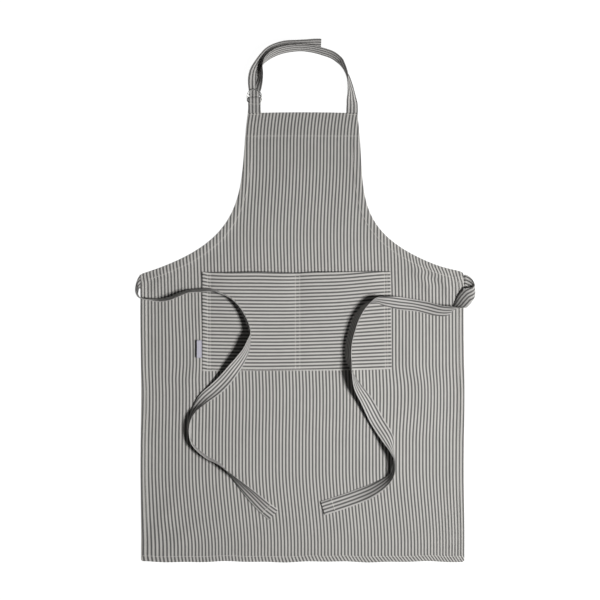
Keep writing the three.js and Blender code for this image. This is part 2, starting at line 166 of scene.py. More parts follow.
def stand_in(piece, node, body):
    """The piece takes the CAD node's place and moves with body."""
    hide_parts(node)
    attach(piece, body)


def grid_faces(rows, columns, start=0):
    """Quads over a grid of rows x columns points, counted from start."""
    index = start + np.arange(rows * columns).reshape(rows, columns)
    quads = np.stack([index[:-1, :-1], index[:-1, 1:], index[1:, 1:], index[1:, :-1]], -1)
    return quads.reshape(-1, 4).tolist()


# ---------------------------------------------------------------- the panel's pattern

# Widths and heights in mm; ARMHOLE holds the right armhole's four control points.
SKIRT_HALF, SIDE_CORNER_Y = 325.0, 578.0
BIB_HALF, BIB_TOP_Y = 110.0, 902.0
ARMHOLE = np.array([[BIB_HALF, BIB_TOP_Y], [132, 746], [86, 651], [SKIRT_HALF, SIDE_CORNER_Y]], float)
CLOTH = 0.8  # thickness
FRONT = 1.0  # height of the plain cloth's face over the floor
HEM_RISE = 1.1  # how much thicker a turned hem is
# Widths of the turned hems.
HEM = {"side": 12.0, "bottom": 13.0, "armhole": 17.0, "bib": 48.0}
STITCH_INSET = 1.8  # a hem's stitching runs this far inside the hem's inner edge


def bezier(points, share):
    """Points at shares of a cubic curve with four control points."""
    a, b, c, d = points
    t = np.asarray(share)[:, None]
    return (1 - t) ** 3 * a + 3 * (1 - t) ** 2 * t * b + 3 * (1 - t) * t**2 * c + t**3 * d


RIGHT_ARMHOLE = resampled(bezier(ARMHOLE, np.linspace(0, 1, 300)), 4.0)


def outline(spacing=4.0):
    """The pattern's outline, anticlockwise from the bottom left corner, corners a little rounded."""
    corner = 3.0
    bottom = [[-SKIRT_HALF + corner, 0], [SKIRT_HALF - corner, 0]]
    right = [[SKIRT_HALF, corner], [SKIRT_HALF, SIDE_CORNER_Y - 2]]
    arm = RIGHT_ARMHOLE[::-1][1:]
    left_arm = arm[::-1] * [-1, 1]
    left = [[-SKIRT_HALF, SIDE_CORNER_Y - 2], [-SKIRT_HALF, corner]]
    loop = np.vstack([bottom, right, arm, left_arm, left, bottom[:1]])
    return resampled(loop, spacing)[:-1]


OUTLINE = outline()


def armhole_distance(x, y):
    """Distance in from the nearer armhole curve."""
    ax = np.abs(np.asarray(x, float)).ravel()
    ay = np.asarray(y, float).ravel()
    nearest = np.full(len(ax), 1e9)
    a, b = RIGHT_ARMHOLE[:-1], RIGHT_ARMHOLE[1:]
    for p, q in zip(a, b):
        d = q - p
        t = np.clip(((ax - p[0]) * d[0] + (ay - p[1]) * d[1]) / (d @ d), 0, 1)
        gap = np.hypot(ax - p[0] - t * d[0], ay - p[1] - t * d[1])
        nearest = np.minimum(nearest, gap)
    return nearest.reshape(np.shape(x))


def settle(x, y):
    """Where a point of the pattern lies once the apron is laid down: it is not quite square."""
    x, y = np.asarray(x, float), np.asarray(y, float)
    sway = -4.0 * bump(y, 665, 95)
    crown = 1.6 * (1 - (x / BIB_HALF) ** 2) * ease(y, 840, 902)
    wave = (0.9 * np.sin(x / 31.0) + 0.6 * np.sin(x / 13.0 + 1.0)) * bump(y, 0, 26)
    side_wave = 0.7 * np.sin(y / 47.0 + 0.6) * ease(np.abs(x), 280, 325) * (1 - ease(y, 500, 570))
    corner = 4.2 * bump(x, SKIRT_HALF, 36) * bump(y, SIDE_CORNER_Y, 30)
    return x + sway + side_wave, y + crown + wave + corner


# Low swells of the cloth: [x, y, length, width, angle in degrees, height].
SWELLS = [
    [-290, 60, 90, 16, 62, 1.6],
    [-262, 30, 70, 13, 40, 1.3],
    [-200, 66, 110, 20, 20, 1.2],
    [-70, 52, 130, 22, 4, 1.0],
    [80, 60, 120, 22, -6, 0.9],
    [230, 50, 100, 20, 12, 1.1],
    [305, 120, 160, 14, 88, 1.0],
    [-312, 300, 200, 12, 90, 1.0],
    [-270, 470, 120, 26, 80, 1.1],
    [262, 584, 26, 5, -52, 2.4],
    [279, 573, 26, 5, -58, 2.6],
    [298, 563, 24, 5.5, -50, 2.2],
    [246, 570, 40, 7, -66, 1.9],
    [226, 588, 34, 7, -60, 1.6],
    [292, 545, 30, 7, -76, 1.7],
    [310, 577.5, 9, 2.0, 32, -1.4],
    [314, 570, 9, 4.0, 32, 1.4],
    [66, 863, 40, 2.2, -3, -1.0],
    [30, 860, 80, 4, 0, 0.8],
    [-85, 851.5, 26, 2.2, 4, -1.0],
    [-80, 858, 30, 3.5, 2, 0.7],
    [-286, 566, 46, 10, 60, 1.2],
    [-236, 600, 70, 14, 40, 0.9],
    [232, 376, 60, 12, -70, 1.6],
    [-222, 372, 60, 12, 72, 1.3],
    [0, 300, 160, 60, 30, 1.0],
    [150, 220, 160, 50, -30, 1.0],
    [-150, 200, 150, 44, 40, 1.0],
    [0, 640, 160, 30, 2, 0.9],
    [-30, 760, 110, 40, 70, 0.9],
    [60, 845, 90, 12, 0, 0.7],
    [-60, 843, 70, 12, 3, 0.6],
]


def swell(x, y):
    """The cloth's own low relief, 0 where it lies dead flat."""
    x, y = np.asarray(x, float), np.asarray(y, float)
    height = 0.25 + 0.10 * np.sin(x / 9.7 + y / 23.0) + 0.09 * np.sin(x / 17.0 - y / 12.5 + 2.0)
    for cx, cy, length, width, angle, rise in SWELLS:
        turn = math.radians(angle)
        along = (x - cx) * math.cos(turn) + (y - cy) * math.sin(turn)
        across = (y - cy) * math.cos(turn) - (x - cx) * math.sin(turn)
        height = height + rise * np.exp(-((along / length) ** 2) - (across / width) ** 2)
    return height


def hem_distances(x, y):
    """Distance in from each kind of hemmed edge."""
    x, y = np.asarray(x, float), np.asarray(y, float)
    return {
        "side": np.where(y < SIDE_CORNER_Y + 2, SKIRT_HALF - np.abs(x), 1e3),
        "bottom": y,
        "armhole": np.where(y > SIDE_CORNER_Y - 40, armhole_distance(x, y), 1e3),
        "bib": BIB_TOP_Y - y,
    }


def in_box(x, y, x_range, y_range, soft=1.5):
    """1 inside a box on the drawing, 0 outside, over a soft border."""
    across = ease(x, x_range[0] - soft, x_range[0]) * (1 - ease(x, x_range[1], x_range[1] + soft))
    return across * ease(y, y_range[0] - soft, y_range[0]) * (1 - ease(y, y_range[1], y_range[1] + soft))


def panel_shape(x, y):
    """The panel's front and back heights at points of the pattern."""
    distance = hem_distances(x, y)
    hem, pucker = 0.0, 0.0
    for kind, width in HEM.items():
        d = distance[kind]
        hem = np.maximum(hem, 1 - ease(d, width - 1.4, width + 0.6))
        row = width - STITCH_INSET
        pucker = pucker + bump(d, row, 1.3) * (d < 200)
    edge = np.min(list(distance.values()), axis=0)
    rounding = 0.35 * (1 - ease(edge, 0, 1.6))
    base = FRONT + swell(x, y) * (0.35 + 0.65 * ease(edge, 2, 30))
    front = base + HEM_RISE * hem - 0.42 * np.minimum(pucker, 1) - rounding
    covered = 1 - ease(distance["armhole"], HEM["armhole"] - 0.5, HEM["armhole"] + 1)
    for x_range, y_range in SEWN_ENDS:
        covered = np.maximum(covered, in_box(x, y, x_range, y_range))
    thick = CLOTH + HEM_RISE * hem * (1 - covered) + 0.15 * hem
    return front, np.maximum(front - thick, 0.02)


# What is sewn under the panel: the tie, strap and tab ends, as boxes on the drawing.
TIE_Y = 563.0
TIE_END_Y = (TIE_Y - 14, TIE_Y + 14)
STRAP_X, TAB_X = 99.6, -96.6
SEWN_ENDS = [
    [(288, 326), TIE_END_Y],
    [(-326, -288), TIE_END_Y],
    [(STRAP_X - 13, STRAP_X + 11), (864, 903)],
    [(TAB_X - 13, TAB_X + 13), (864, 903)],
]


def stripe_shift(x, y):
    """How far the cloth's lengthwise stripes have slid sideways, as the weave skews near its hems."""
    x, y = np.asarray(x, float), np.asarray(y, float)
    bib_hem = 5.8 * np.clip((y - 835) / 67, 0, 2) ** 2.2
    bib = 2.9 * ease(y, 630, 810)
    taper = 1 - np.clip(np.abs(x) / SKIRT_HALF, 0, 1) ** 7
    bottom = 11.0 * (1 - ease(y, 30, 190)) * taper
    bottom_left = 3.0 * (1 - ease(y, 25, 95)) * bump(x, -220, 90)
    rolled = np.clip(HEM["bottom"] - y, 0, 13) * (0.15 + 0.65 * ease(x, -160, 200))
    middle = 1.7 * (1 - ease(y, 335, 400)) + 1.3 * ease(y, 235, 325)
    pocket_right = 3.5 * bump(x, 225, 45) * (1 - ease(y, 350, 400)) * ease(y, 240, 340)
    pocket_left = 3.0 * bump(x, -235, 40) * ease(y, 360, 400) * (1 - ease(y, 420, 520))
    close = 1 - ease(armhole_distance(x, y), 2, 24)
    crumple = 1.5 * np.sin(y / 5.2 + x / 30) * bump(x, 272, 38) * bump(y, 578, 22)
    armhole = crumple + close * np.where(x > 0, -6.0 * ease(x, 150, 280), -2.0 * ease(-x, 150, 280))
    upper = bib_hem + bib + armhole * (y > 540)
    return upper + bottom + bottom_left + rolled + middle + pocket_right + pocket_left


# Boxes on the drawing where the cloth is creased, and so is meshed more finely.
FINE = [[(225, 323), (535, 610)], [(-323, -240), (540, 600)]]
FINE_STEP = 2.8
PLAIN_STEP = 6.2


def build_panel(material):
    """The cut cloth with its hems: one closed mesh, finer along the hems' edges and stitching."""
    edge = OUTLINE
    ahead, behind = np.roll(edge, -1, axis=0), np.roll(edge, 1, axis=0)
    along = ahead - behind
    inward = np.stack([-along[:, 1], along[:, 0]], 1) / np.linalg.norm(along, axis=1)[:, None]
    rows = []
    offsets = {
        "side": [0.8, 2.2, 5.5, 8.8, 10.2, 11.6, 13.2, 17],
        "bottom": [0.8, 2.2, 6, 9.8, 11.2, 12.6, 14.2, 18],
        "armhole": [0.8, 2.2, 7, 11, 13.8, 15.2, 16.6, 18.2, 22],
        "bib": [0.8, 2.2, 6, 44.6, 46.2, 47.6, 49.2, 53],
    }
    distance = hem_distances(edge[:, 0], edge[:, 1])
    kinds = list(offsets)
    owner = np.argmin(np.stack([distance[k] for k in kinds]), axis=0)
    for index, kind in enumerate(kinds):
        mine = owner == index
        for offset in offsets[kind]:
            moved = edge[mine] + inward[mine] * offset
            here = hem_distances(moved[:, 0], moved[:, 1])
            clear = np.ones(len(moved), bool)
            for other in kinds:
                nearest_row = 0.7 if other != kind else offset - 0.2
                clear &= here[other] > min(nearest_row, offset - 0.2)
            rows.append(moved[clear])
    rows = np.vstack(rows)
    tree = KDTree(len(rows) + len(edge))
    for i, p in enumerate(np.vstack([rows, edge])):
        tree.insert((p[0], p[1], 0), i)
    tree.balance()
    grid = []
    for j, y in enumerate(np.arange(3, BIB_TOP_Y, PLAIN_STEP * 0.87)):
        for x in np.arange(-SKIRT_HALF + (j % 2) * PLAIN_STEP / 2, SKIRT_HALF, PLAIN_STEP):
            grid.append((x, y))
    grid = np.array(grid)
    grid = grid[inside_pattern(grid[:, 0], grid[:, 1], 1.5)]
    grid = np.array([p for p in grid if tree.find((p[0], p[1], 0))[2] > 3.0])
    for x_range, y_range in FINE:
        inside = (grid[:, 0] > x_range[0]) & (grid[:, 0] < x_range[1])
        inside &= (grid[:, 1] > y_range[0]) & (grid[:, 1] < y_range[1])
        x, y = np.meshgrid(np.arange(*x_range, FINE_STEP), np.arange(*y_range, FINE_STEP))
        x, y = x.ravel(), y.ravel()
        kept = inside_pattern(x, y, 1.5)
        finer = [p for p in np.column_stack([x, y])[kept] if tree.find((p[0], p[1], 0))[2] > 1.4]
        grid = np.vstack([grid[~inside], finer])
    points = np.vstack([edge, rows, grid])
    count = len(edge)
    constraints = [(i, (i + 1) % count) for i in range(count)]
    found = delaunay_2d_cdt([Vector(p) for p in points], constraints, [], 0, 1e-4)
    points = np.array([tuple(p) for p in found[0]])
    triangles = np.array([f for f in found[2] if len(f) == 3])
    middle = points[triangles].mean(axis=1)
    triangles = triangles[inside_pattern(middle[:, 0], middle[:, 1], 0.0)]
    used = np.unique(triangles)
    renumber = np.full(len(points), -1)
    renumber[used] = np.arange(len(used))
    points, triangles = points[used], renumber[triangles]
    a, b, c = (points[triangles[:, i]] for i in range(3))
    turned = (b[:, 0] - a[:, 0]) * (c[:, 1] - a[:, 1]) - (b[:, 1] - a[:, 1]) * (c[:, 0] - a[:, 0]) < 0
    triangles[turned] = triangles[turned][:, ::-1]

    x, y = points[:, 0], points[:, 1]
    front, back = panel_shape(x, y)
    placed = settle(x, y)
    total = len(points)
    corners = np.vstack([np.stack([*placed, front], 1), np.stack([*placed, back], 1)])
    sides = {}
    for t in triangles:
        for i in range(3):
            sides[(t[i], t[(i + 1) % 3])] = True
    rim = [(i, j) for i, j in sides if (j, i) not in sides]
    walls = [[j, i, i + total, j + total] for i, j in rim]
    faces = triangles.tolist() + (triangles[:, ::-1] + total).tolist() + walls
    across = x - stripe_shift(x, y)
    cloth = np.tile(np.stack([across, y], 1), (2, 1))
    return add_mesh("striped_panel", corners, faces, material, cloth)


def inside_pattern(x, y, margin):
    """True for points inside the pattern and at least margin from the armholes and edges."""
    x, y = np.asarray(x, float), np.asarray(y, float)
    inside = np.zeros(len(x), bool)
    px, py = OUTLINE[:, 0], OUTLINE[:, 1]
    qx, qy = np.roll(px, -1), np.roll(py, -1)
    for i in range(len(px)):
        crosses = (py[i] > y) != (qy[i] > y)
        if not crosses.any():
            continue
        at = px[i] + (y - py[i]) / (qy[i] - py[i] + 1e-12) * (qx[i] - px[i])
        inside ^= crosses & (x < at)
    if margin:
        distance = hem_distances(x, y)
        inside &= np.minimum(distance["armhole"], distance["bib"]) > margin
        inside &= (distance["side"] > margin) & (distance["bottom"] > margin)
    return inside


# ---------------------------------------------------------------- the pocket

POCKET = {"left": -201.5, "right": 176.5, "bottom": 383.5, "top": 582.5}
DIVIDER_X = -10.0
POCKET_ROWS = {
    "left_outer": POCKET["left"] + 10.7,
    "left_inner": POCKET["left"] + 16.0,
    "right_outer": POCKET["right"] - 7.0,
    "right_inner": POCKET["right"] - 12.0,
    "middle_left": DIVIDER_X - 4.4,
    "middle_right": DIVIDER_X + 4.4,
}
POCKET_BOTTOM_ROW = POCKET["bottom"] + 2.4
MOUTH_HEM = 16.0


def settle_pocket(x, y):
    """The pocket laid down: its mouth sags at the divider and its right side hangs a little out."""
    down = (POCKET["top"] - y) / (POCKET["top"] - POCKET["bottom"])
    over = (x - POCKET["left"]) / (POCKET["right"] - POCKET["left"])
    sag = -0.8 * bump(x, DIVIDER_X, 60) + 1.2 * over**2
    lift = 3.6 * over**3
    y = y + (1 - down) * sag + down * lift + 0.5 * np.sin(x / 19.0) * (1 - down) ** 4
    return x + 2.4 * down * over**3, y


def pocket_gape(x, y):
    """How far the pocket's cloth stands off the panel, most at the mouth between the seams."""
    left_room = np.minimum(x - POCKET_ROWS["left_inner"], POCKET_ROWS["middle_left"] - x)
    right_room = np.minimum(x - POCKET_ROWS["middle_right"], POCKET_ROWS["right_inner"] - x)
    room = np.maximum(left_room, right_room)
    span = 1 - np.exp(-np.clip(room, 0, None) / 22.0)
    up = ease(y, POCKET["bottom"] + 4, POCKET["top"])
    return 3.6 * span * up**2 + 0.5 * span * ease(y, POCKET["bottom"] + 4, POCKET["bottom"] + 30)


def pocket_shape(x, y):
    """The pocket's front and back heights."""
    x, y = np.asarray(x, float), np.asarray(y, float)
    under = panel_shape(x, y)[0]
    edge = np.minimum(np.minimum(x - POCKET["left"], POCKET["right"] - x), y - POCKET["bottom"])
    turned = 0.55 * (1 - ease(edge, 8.5, 10.5))
    mouth = 0.8 * ease(y, POCKET["top"] - MOUTH_HEM - 0.8, POCKET["top"] - MOUTH_HEM + 0.8)
    pucker = 0.0
    for row in POCKET_ROWS.values():
        pucker = pucker + 0.35 * bump(x, row, 1.4) * (1 - 0.8 * mouth)
    pucker = pucker + 0.35 * bump(y, POCKET_BOTTOM_ROW, 1.3)
    pucker = pucker + 0.3 * bump(y, POCKET["top"] - MOUTH_HEM + 1.8, 1.3)
    tension = 0.16 * np.sin(x / 3.1 + y / 7.0) * (1 - ease(edge, 12, 26)) * ease(edge, 3, 9)
    relief = 0.12 * np.sin(x / 21.0 + 1.0) * np.sin(y / 15.0) + tension
    back = under + 0.12 + pocket_gape(x, y)
    front = back + CLOTH + turned + mouth - pucker + relief
    return front - 0.3 * (1 - ease(np.minimum(edge, POCKET["top"] - y), 0, 1.4)), back


def pocket_slide(x, y):
    """How far the pocket's crosswise stripes have slid up, as its cloth was sewn on a little skewed."""
    height = ease(y, POCKET["bottom"], POCKET["top"] - 60)
    right = 10.0 * ease(x, 40, 215) * (0.35 + 0.65 * height)
    left = 2.0 * (1 - ease(x, POCKET["left"], POCKET["left"] + 15))
    return right + left + 0.8 * np.sin(x / 47.0)


def build_pocket(material):
    """The pocket as one closed mesh, its stripes running across the apron."""
    def finer(start, end, step, lines):
        """Positions between start and end, closer round the given lines."""
        marks = list(np.arange(start, end, step)) + [end]
        marks = [m for m in marks if all(abs(m - line) > 2.4 for line in lines) or m in (start, end)]
        for line in lines:
            marks += [m for m in (line - 1.4, line, line + 1.4) if start < m < end]
        return np.unique(np.round(marks, 3))

    step, rim_inset = 4.2, 1.2
    upright = [*POCKET_ROWS.values(), POCKET["left"] + rim_inset, POCKET["right"] - rim_inset]
    xs = finer(POCKET["left"], POCKET["right"], step, upright)
    hem_line = POCKET["top"] - MOUTH_HEM
    level = [POCKET_BOTTOM_ROW, hem_line, hem_line + 2.4, POCKET["top"] - rim_inset]
    ys = finer(POCKET["bottom"], POCKET["top"], step, level)
    x, y = np.meshgrid(xs, ys)
    front, back = pocket_shape(x, y)
    px, py = settle_pocket(x, y)
    rows, columns = x.shape
    total = rows * columns
    top = np.stack([px, py, front], -1).reshape(-1, 3)
    low = np.stack([px, py, back], -1).reshape(-1, 3)
    faces = grid_faces(rows, columns) + [f[::-1] for f in grid_faces(rows, columns, total)]
    index = np.arange(total).reshape(rows, columns)
    rim = [*index[0, :], *index[1:, -1], *index[-1, -2::-1], *index[-2:0:-1, 0]]
    faces += [[b, a, a + total, b + total] for a, b in zip(rim, rim[1:] + rim[:1])]
    along = (y - pocket_slide(x, y)).ravel()
    cloth = np.tile(np.stack([along, x.ravel()], 1), (2, 1))
    return add_mesh("striped_pocket", np.vstack([top, low]), faces, material, cloth)


# ---------------------------------------------------------------- tapes


def ground(x, y):
    """The height that a tape rests on at points of the drawing: floor, panel or pocket."""
    x, y = np.asarray(x, float), np.asarray(y, float)
    flat_x, flat_y = x.ravel(), y.ravel()
    laid = settle(flat_x, flat_y)
    cut_x, cut_y = 2 * flat_x - laid[0], 2 * flat_y - laid[1]
    on_panel = inside_pattern(cut_x, cut_y, 0.0)
    height = np.where(on_panel, panel_shape(cut_x, cut_y)[0], 0.0)
    laid = settle_pocket(flat_x, flat_y)
    cut_x, cut_y = 2 * flat_x - laid[0], 2 * flat_y - laid[1]
    on_pocket = (cut_x > POCKET["left"] - 1) & (cut_x < POCKET["right"] + 1)
    on_pocket &= (cut_y > POCKET["bottom"] - 1) & (cut_y < POCKET["top"] + 1)
    inside_x = np.clip(cut_x, POCKET["left"] + 2, POCKET["right"] - 2)
    inside_y = np.clip(cut_y, POCKET["bottom"] + 2, POCKET["top"] - 2)
    height = np.where(on_pocket, pocket_shape(inside_x, inside_y)[0], height)
    return height.reshape(x.shape)


SECTION = 13  # points across a tape's face
EDGE_ROUND = 0.35  # how far a tape's rounded edge stands out past its face


def tape_frames(stations, spacing=2.5, clear=0.3, thick=1.6, spread=1.2):
    """Samples along a tape. A station is [x, y, roll, width, cup, base]: roll turns the tape about its
    length, 90 on its edge with its left edge up, cup bends it across, in degrees, and base is how far it
    hangs over what lies below. A station of two points, [left edge, right edge], sets both in space.
    Returns centres, across vectors, face normals, widths and cups."""
    middles = np.array([
        [(s[0][0] + s[1][0]) / 2, (s[0][1] + s[1][1]) / 2] if len(s) == 2 else s[:2] for s in stations
    ], float)
    travel = unit(np.gradient(middles, axis=0))
    rows = []
    for station, middle, heading in zip(stations, middles, travel):
        if len(station) == 2:
            rows.append([*station[0], *station[1], 0.0])
            continue
        roll, width, cup, base = (list(station[2:]) + [None] * 3)[:4]
        half = (28.0 if width is None else width) / 2
        turn = math.radians(roll)
        side = np.array([-heading[1] * math.cos(turn), heading[0] * math.cos(turn), math.sin(turn)]) * half
        low = abs(side[2]) + thick / 2 + (base or 0.0)
        here = np.array([*middle, low + clear + float(ground(middle[:1], middle[1:])[0])])
        rows.append([*(here + side), *(here - side), cup or 0.0])
    path = smooth_line(curve_through(np.array(rows), spacing), spread)
    left, right, cup = path[:, :3], path[:, 3:6], path[:, 6]
    centre = (left + right) / 2
    across = left - right
    width = np.linalg.norm(across, axis=1)
    across = across / width[:, None]
    heading = np.gradient(centre, axis=0)
    face = unit(np.cross(heading, across))
    points = section_points(centre, across, face, width, cup, np.zeros(SECTION))
    under = ground(points[..., 0], points[..., 1]) + clear + thick / 2 * np.abs(face[:, None, 2])
    need = np.clip((under - points[..., 2]).max(axis=1), 0, None)
    reach = 2
    held = np.pad(need, reach, mode="edge")
    need = np.max([held[i : i + len(need)] for i in range(2 * reach + 1)], axis=0)
    centre = centre + np.outer(smooth_line(need, 1.5), [0, 0, 1.0])
    return centre, across, face, width, cup


def flat_frames(points, width, spacing, low):
    """Samples along a tape that lies flat, through points, with its middle at the height low."""
    path = curve_through(points, spacing)
    heading = unit(np.gradient(path, axis=0))
    count = len(path)
    centre = np.column_stack([path, np.full(count, low)])
    across = np.column_stack([-heading[:, 1], heading[:, 0], np.zeros(count)])
    face = np.tile([0, 0, 1.0], (count, 1))
    return centre, across, face, np.full(count, float(width)), np.zeros(count)


def section_points(centre, across, face, width, cup, lift):
    """The points across each sample's section: an arc as wide as the tape along its own length, bent by
    cup degrees from its middle to each edge, and moved off it by lift along the local normal."""
    u = np.linspace(-0.5, 0.5, SECTION)[None, :] * width[:, None]
    bend = np.radians(cup)[:, None] / (width[:, None] / 2)
    bend = np.where(np.abs(bend) < 1e-5, 1e-5, bend)
    sideways = np.sin(bend * u) / bend
    curl = (1 - np.cos(bend * u)) / bend
    mean = curl.mean(axis=1, keepdims=True)
    tilt_a, tilt_f = -np.sin(bend * u), np.cos(bend * u)
    a = (sideways + lift * tilt_a)[..., None] * across[:, None, :]
    f = (curl - mean + lift * tilt_f)[..., None] * face[:, None, :]
    return centre[:, None, :] + a + f


def build_tape(name, frames, thick, material):
    """A tape's closed mesh: two faces and rounded edges, with its place on the flat cloth. Its thickness
    is one number, or one for each sample."""
    centre, across, face, width, cup = frames
    half = np.broadcast_to(thick, len(centre))[:, None] / 2
    profile = np.linspace(-1, 1, SECTION)
    slim = half * np.sqrt(np.clip(1 - np.abs(profile) ** 14, 0.12, 1))
    front = section_points(centre, across, face, width, cup, slim)
    back = section_points(centre, across, face, width, cup, -slim)
    edge_plus = section_points(centre, across, face, width + 2 * EDGE_ROUND, cup, np.zeros(SECTION))
    loop = np.concatenate([front, edge_plus[:, -1:], back[:, ::-1], edge_plus[:, :1]], axis=1)
    rows, columns = loop.shape[:2]
    index = np.arange(rows * columns).reshape(rows, columns)
    wrapped = np.concatenate([index, index[:, :1]], axis=1)
    quads = np.stack([wrapped[:-1, :-1], wrapped[1:, :-1], wrapped[1:, 1:], wrapped[:-1, 1:]], -1)
    faces = quads.reshape(-1, 4).tolist()
    for row, flip in ((index[0], False), (index[-1], True)):
        for i in range(SECTION - 1):
            j = 2 * SECTION - i
            quad = [row[i], row[i + 1], row[j - 1], row[j]]
            faces.append(quad[::-1] if flip else quad)
        plus_tip = [row[SECTION - 1], row[SECTION], row[SECTION + 1]]
        for tip in ([row[0], row[2 * SECTION], row[-1]], plus_tip):
            faces.append(tip[::-1] if flip else tip)
    length = length_along(centre)
    u = np.linspace(-0.5, 0.5, SECTION)[None, :] * width[:, None]
    rim = width[:, None] / 2
    across_cloth = np.concatenate([u, rim + EDGE_ROUND, u[:, ::-1], -rim - EDGE_ROUND], axis=1)
    along_cloth = np.repeat(length[:, None], columns, axis=1)
    cloth = np.stack([across_cloth, along_cloth], -1).reshape(-1, 2)
    piece = add_mesh(name, loop.reshape(-1, 3), faces, material, cloth)
    return piece, length[-1]


TIE_THICK = 1.6
STRAP_THICK = 1.2
END_HEM = {"rise": 0.55, "groove": 0.3}  # a turned end is thicker, and its row of stitches sinks in


def distance_to_end(frames):
    """Each sample's distance back from the tape's end."""
    steps = np.linalg.norm(np.diff(frames[0], axis=0), axis=1)
    return np.concatenate([np.cumsum(steps[::-1])[::-1], [0]])


def hemmed(frames, thick, row):
    """A tape's thickness at each sample, doubled over as far as the row of stitches before its end."""
    left = distance_to_end(frames)
    turned = 1 - ease(left, row + 1.2, row + 3.0)
    return thick + END_HEM["rise"] * turned - END_HEM["groove"] * bump(left, row, 0.9)

# The waist ties: out from behind the side edge, round it on their edge, and down over the front.
LEFT_TIE = [
    [(-325.8, 549, 0.7), (-325.8, 576.5, 0.7)],
    [(-326.6, 549.5, 5), (-330.2, 571, 0.8)],
    [(-327, 551, 13), (-333.6, 563, 0.8)],
    [(-327, 549, 21), (-336, 553, 0.8)],
    [(-327.4, 543, 26), (-336.3, 543.5, 0.8)],
    [(-327.8, 537.3, 27.5), (-333.2, 535.4, 0.8)],
    [(-324.5, 531.6, 28.5), (-327, 530, 1.6)],
    [(-316, 527.8, 29), (-316, 529.6, 2.6)],
    [-306.9, 528, 96, 27],
    [-287.6, 526, 104, 26],
    [-265.6, 529.5, 107, 26],
    [-248.9, 536.3, 107, 26],
    [-229.8, 543.5, 106, 26],
    [-210.3, 545.4, 107, 26],
    [-190.6, 546.8, 107, 25],
    [-176.1, 545.4, 102, 22, 10],
    [-162, 539.3, 95, 19, 20],
    [-143.9, 530.3, 88, 18, 24],
    [-127.8, 514.2, 83, 19, 22],
    [-115.7, 494, 80, 20, 20],
    [-108.1, 475.9, 80, 23, 14],
    [-104.2, 458.9, 88, 25],
    [-106.7, 447.8, 100, 26],
    [-112.1, 427.6, 117, 27],
    [-123.8, 407.5, 133, 28, -8],
    [-139.9, 386.4, 149, 28, -18],
    [-156, 366.3, 163, 28, -30],
    [-176.1, 346.1, 178, 28, -40],
    [-198.2, 327, 207, 26, -38],
    [-216.3, 305.9, 238, 21, -30],
    [-224.8, 286.8, 254, 18, -24],
    [-227.4, 260.6, 262, 16, -20],
    [-221.4, 238.5, 273, 16, -14],
    [-209.7, 225.2, 280, 17],
    [-190.2, 209.9, 281, 18],
    [-166.4, 197.6, 277, 20],
    [-153.2, 185.1, 264, 22],
    [-127.8, 161.6, 238, 26, -18],
    [-99.6, 133.8, 213, 28, -26],
    [-74.1, 108.1, 195, 28, -12],
    [-57.4, 94.2, 185, 28],
]
RIGHT_TIE = [
    [(325.8, 549, 0.7), (325.8, 577.5, 0.7)],
    [(331, 547.5, 1.2), (331, 576, 1.0)],
    [(338, 545, 3.5), (337.5, 571.5, 2.5)],
    [(344, 541.5, 7.5), (342.8, 564.5, 7)],
    [(346, 537, 12), (345, 557.5, 10.5)],
    [(344.5, 532, 16), (342.3, 552.5, 14)],
    [(341.5, 527, 18), (335, 550.5, 14.5)],
    [(338, 522, 20), (326, 549, 12)],
    [(334, 517.5, 21), (318, 541, 8.5)],
    [(330, 513.5, 22.5), (311.9, 533, 6)],
    [(325.5, 510.5, 23.5), (307, 523, 4.5)],
    [(317, 510.5, 23), (303.5, 513, 3.5)],
    [(310, 511.5, 22), (299.5, 504, 3)],
    [(302.9, 512.1, 21), (295.8, 497.5, 3)],
    [(289, 513.5, 18), (286, 493.9, 3)],
    [(276.7, 515, 15), (270, 494.8, 3)],
    [(249.5, 522.8, 9), (253, 497.7, 3)],
    [(218.3, 528.4, 7.5), (229, 503.5, 3)],
    [(191.8, 532.3, 12), (198, 506.5, 4)],
    [(165, 532.5, 21), (163, 515.5, 7)],
    [(147.5, 530.9, 29), (145.9, 520.8, 7)],
    [126, 515.6, 75, 26],
    [109, 492, 66],
    [100.3, 468, 66],
    [93.5, 441.5, 66],
    [91.3, 418, 64],
    [94, 400, 72],
    [98.5, 385, 90],
    [104, 368, 108],
    [110.5, 353, 125],
    [129, 322.5, 150, 28, -12],
    [149, 284, 165, 28, -18],
    [170.5, 249, 150, 28, -8],
    [178.5, 229, 118, 25, 8],
    [184.3, 208, 92, 23, 16],
    [184.1, 196, 84, 22, 18],
    [180.5, 178, 72, 22, 12],
    [168, 163.5, 54, 25],
    [141.4, 145.3, 33],
    [112.1, 132, 10, 28, 6],
    [69, 116.7, 3],
    [39.8, 107.5, -3],
]

# The neck strap, up from its sewn end at the right, over the top on its edge and down to the rings.
STRAP = [
    [99.7, 902.5, 0, 22.5],
    [99.7, 910, 6, 22.5],
    [99.7, 920.7, 16, 22.5],
    [98.6, 928.7, 30, 23],
    [97.8, 939.8, 48, 24],
    [93.9, 958.9, 64, 25, 24],
    [88.6, 979.8, 86, 26, 46],
    [79, 998, 108, 26, 30],
    [72.3, 1008.6, 116, 26],
    [60, 1017.3, 118, 26],
    [30.2, 1027, 116, 26],
    [13.9, 1030, 114, 26],
    [-5.4, 1031.5, 113, 26],
    [-37, 1027.5, 113, 26],
    [-58, 1020, 112, 26],
    [-73.5, 1008, 101, 26],
    [-81, 996, 84, 26],
    [-84, 983, 66, 26],
    [-87.5, 967, 50, 26],
    [-93, 953, 25, 24],
    [-96.4, 945, 4, 21],
    [-96.6, 938, 0, 19.5],
]
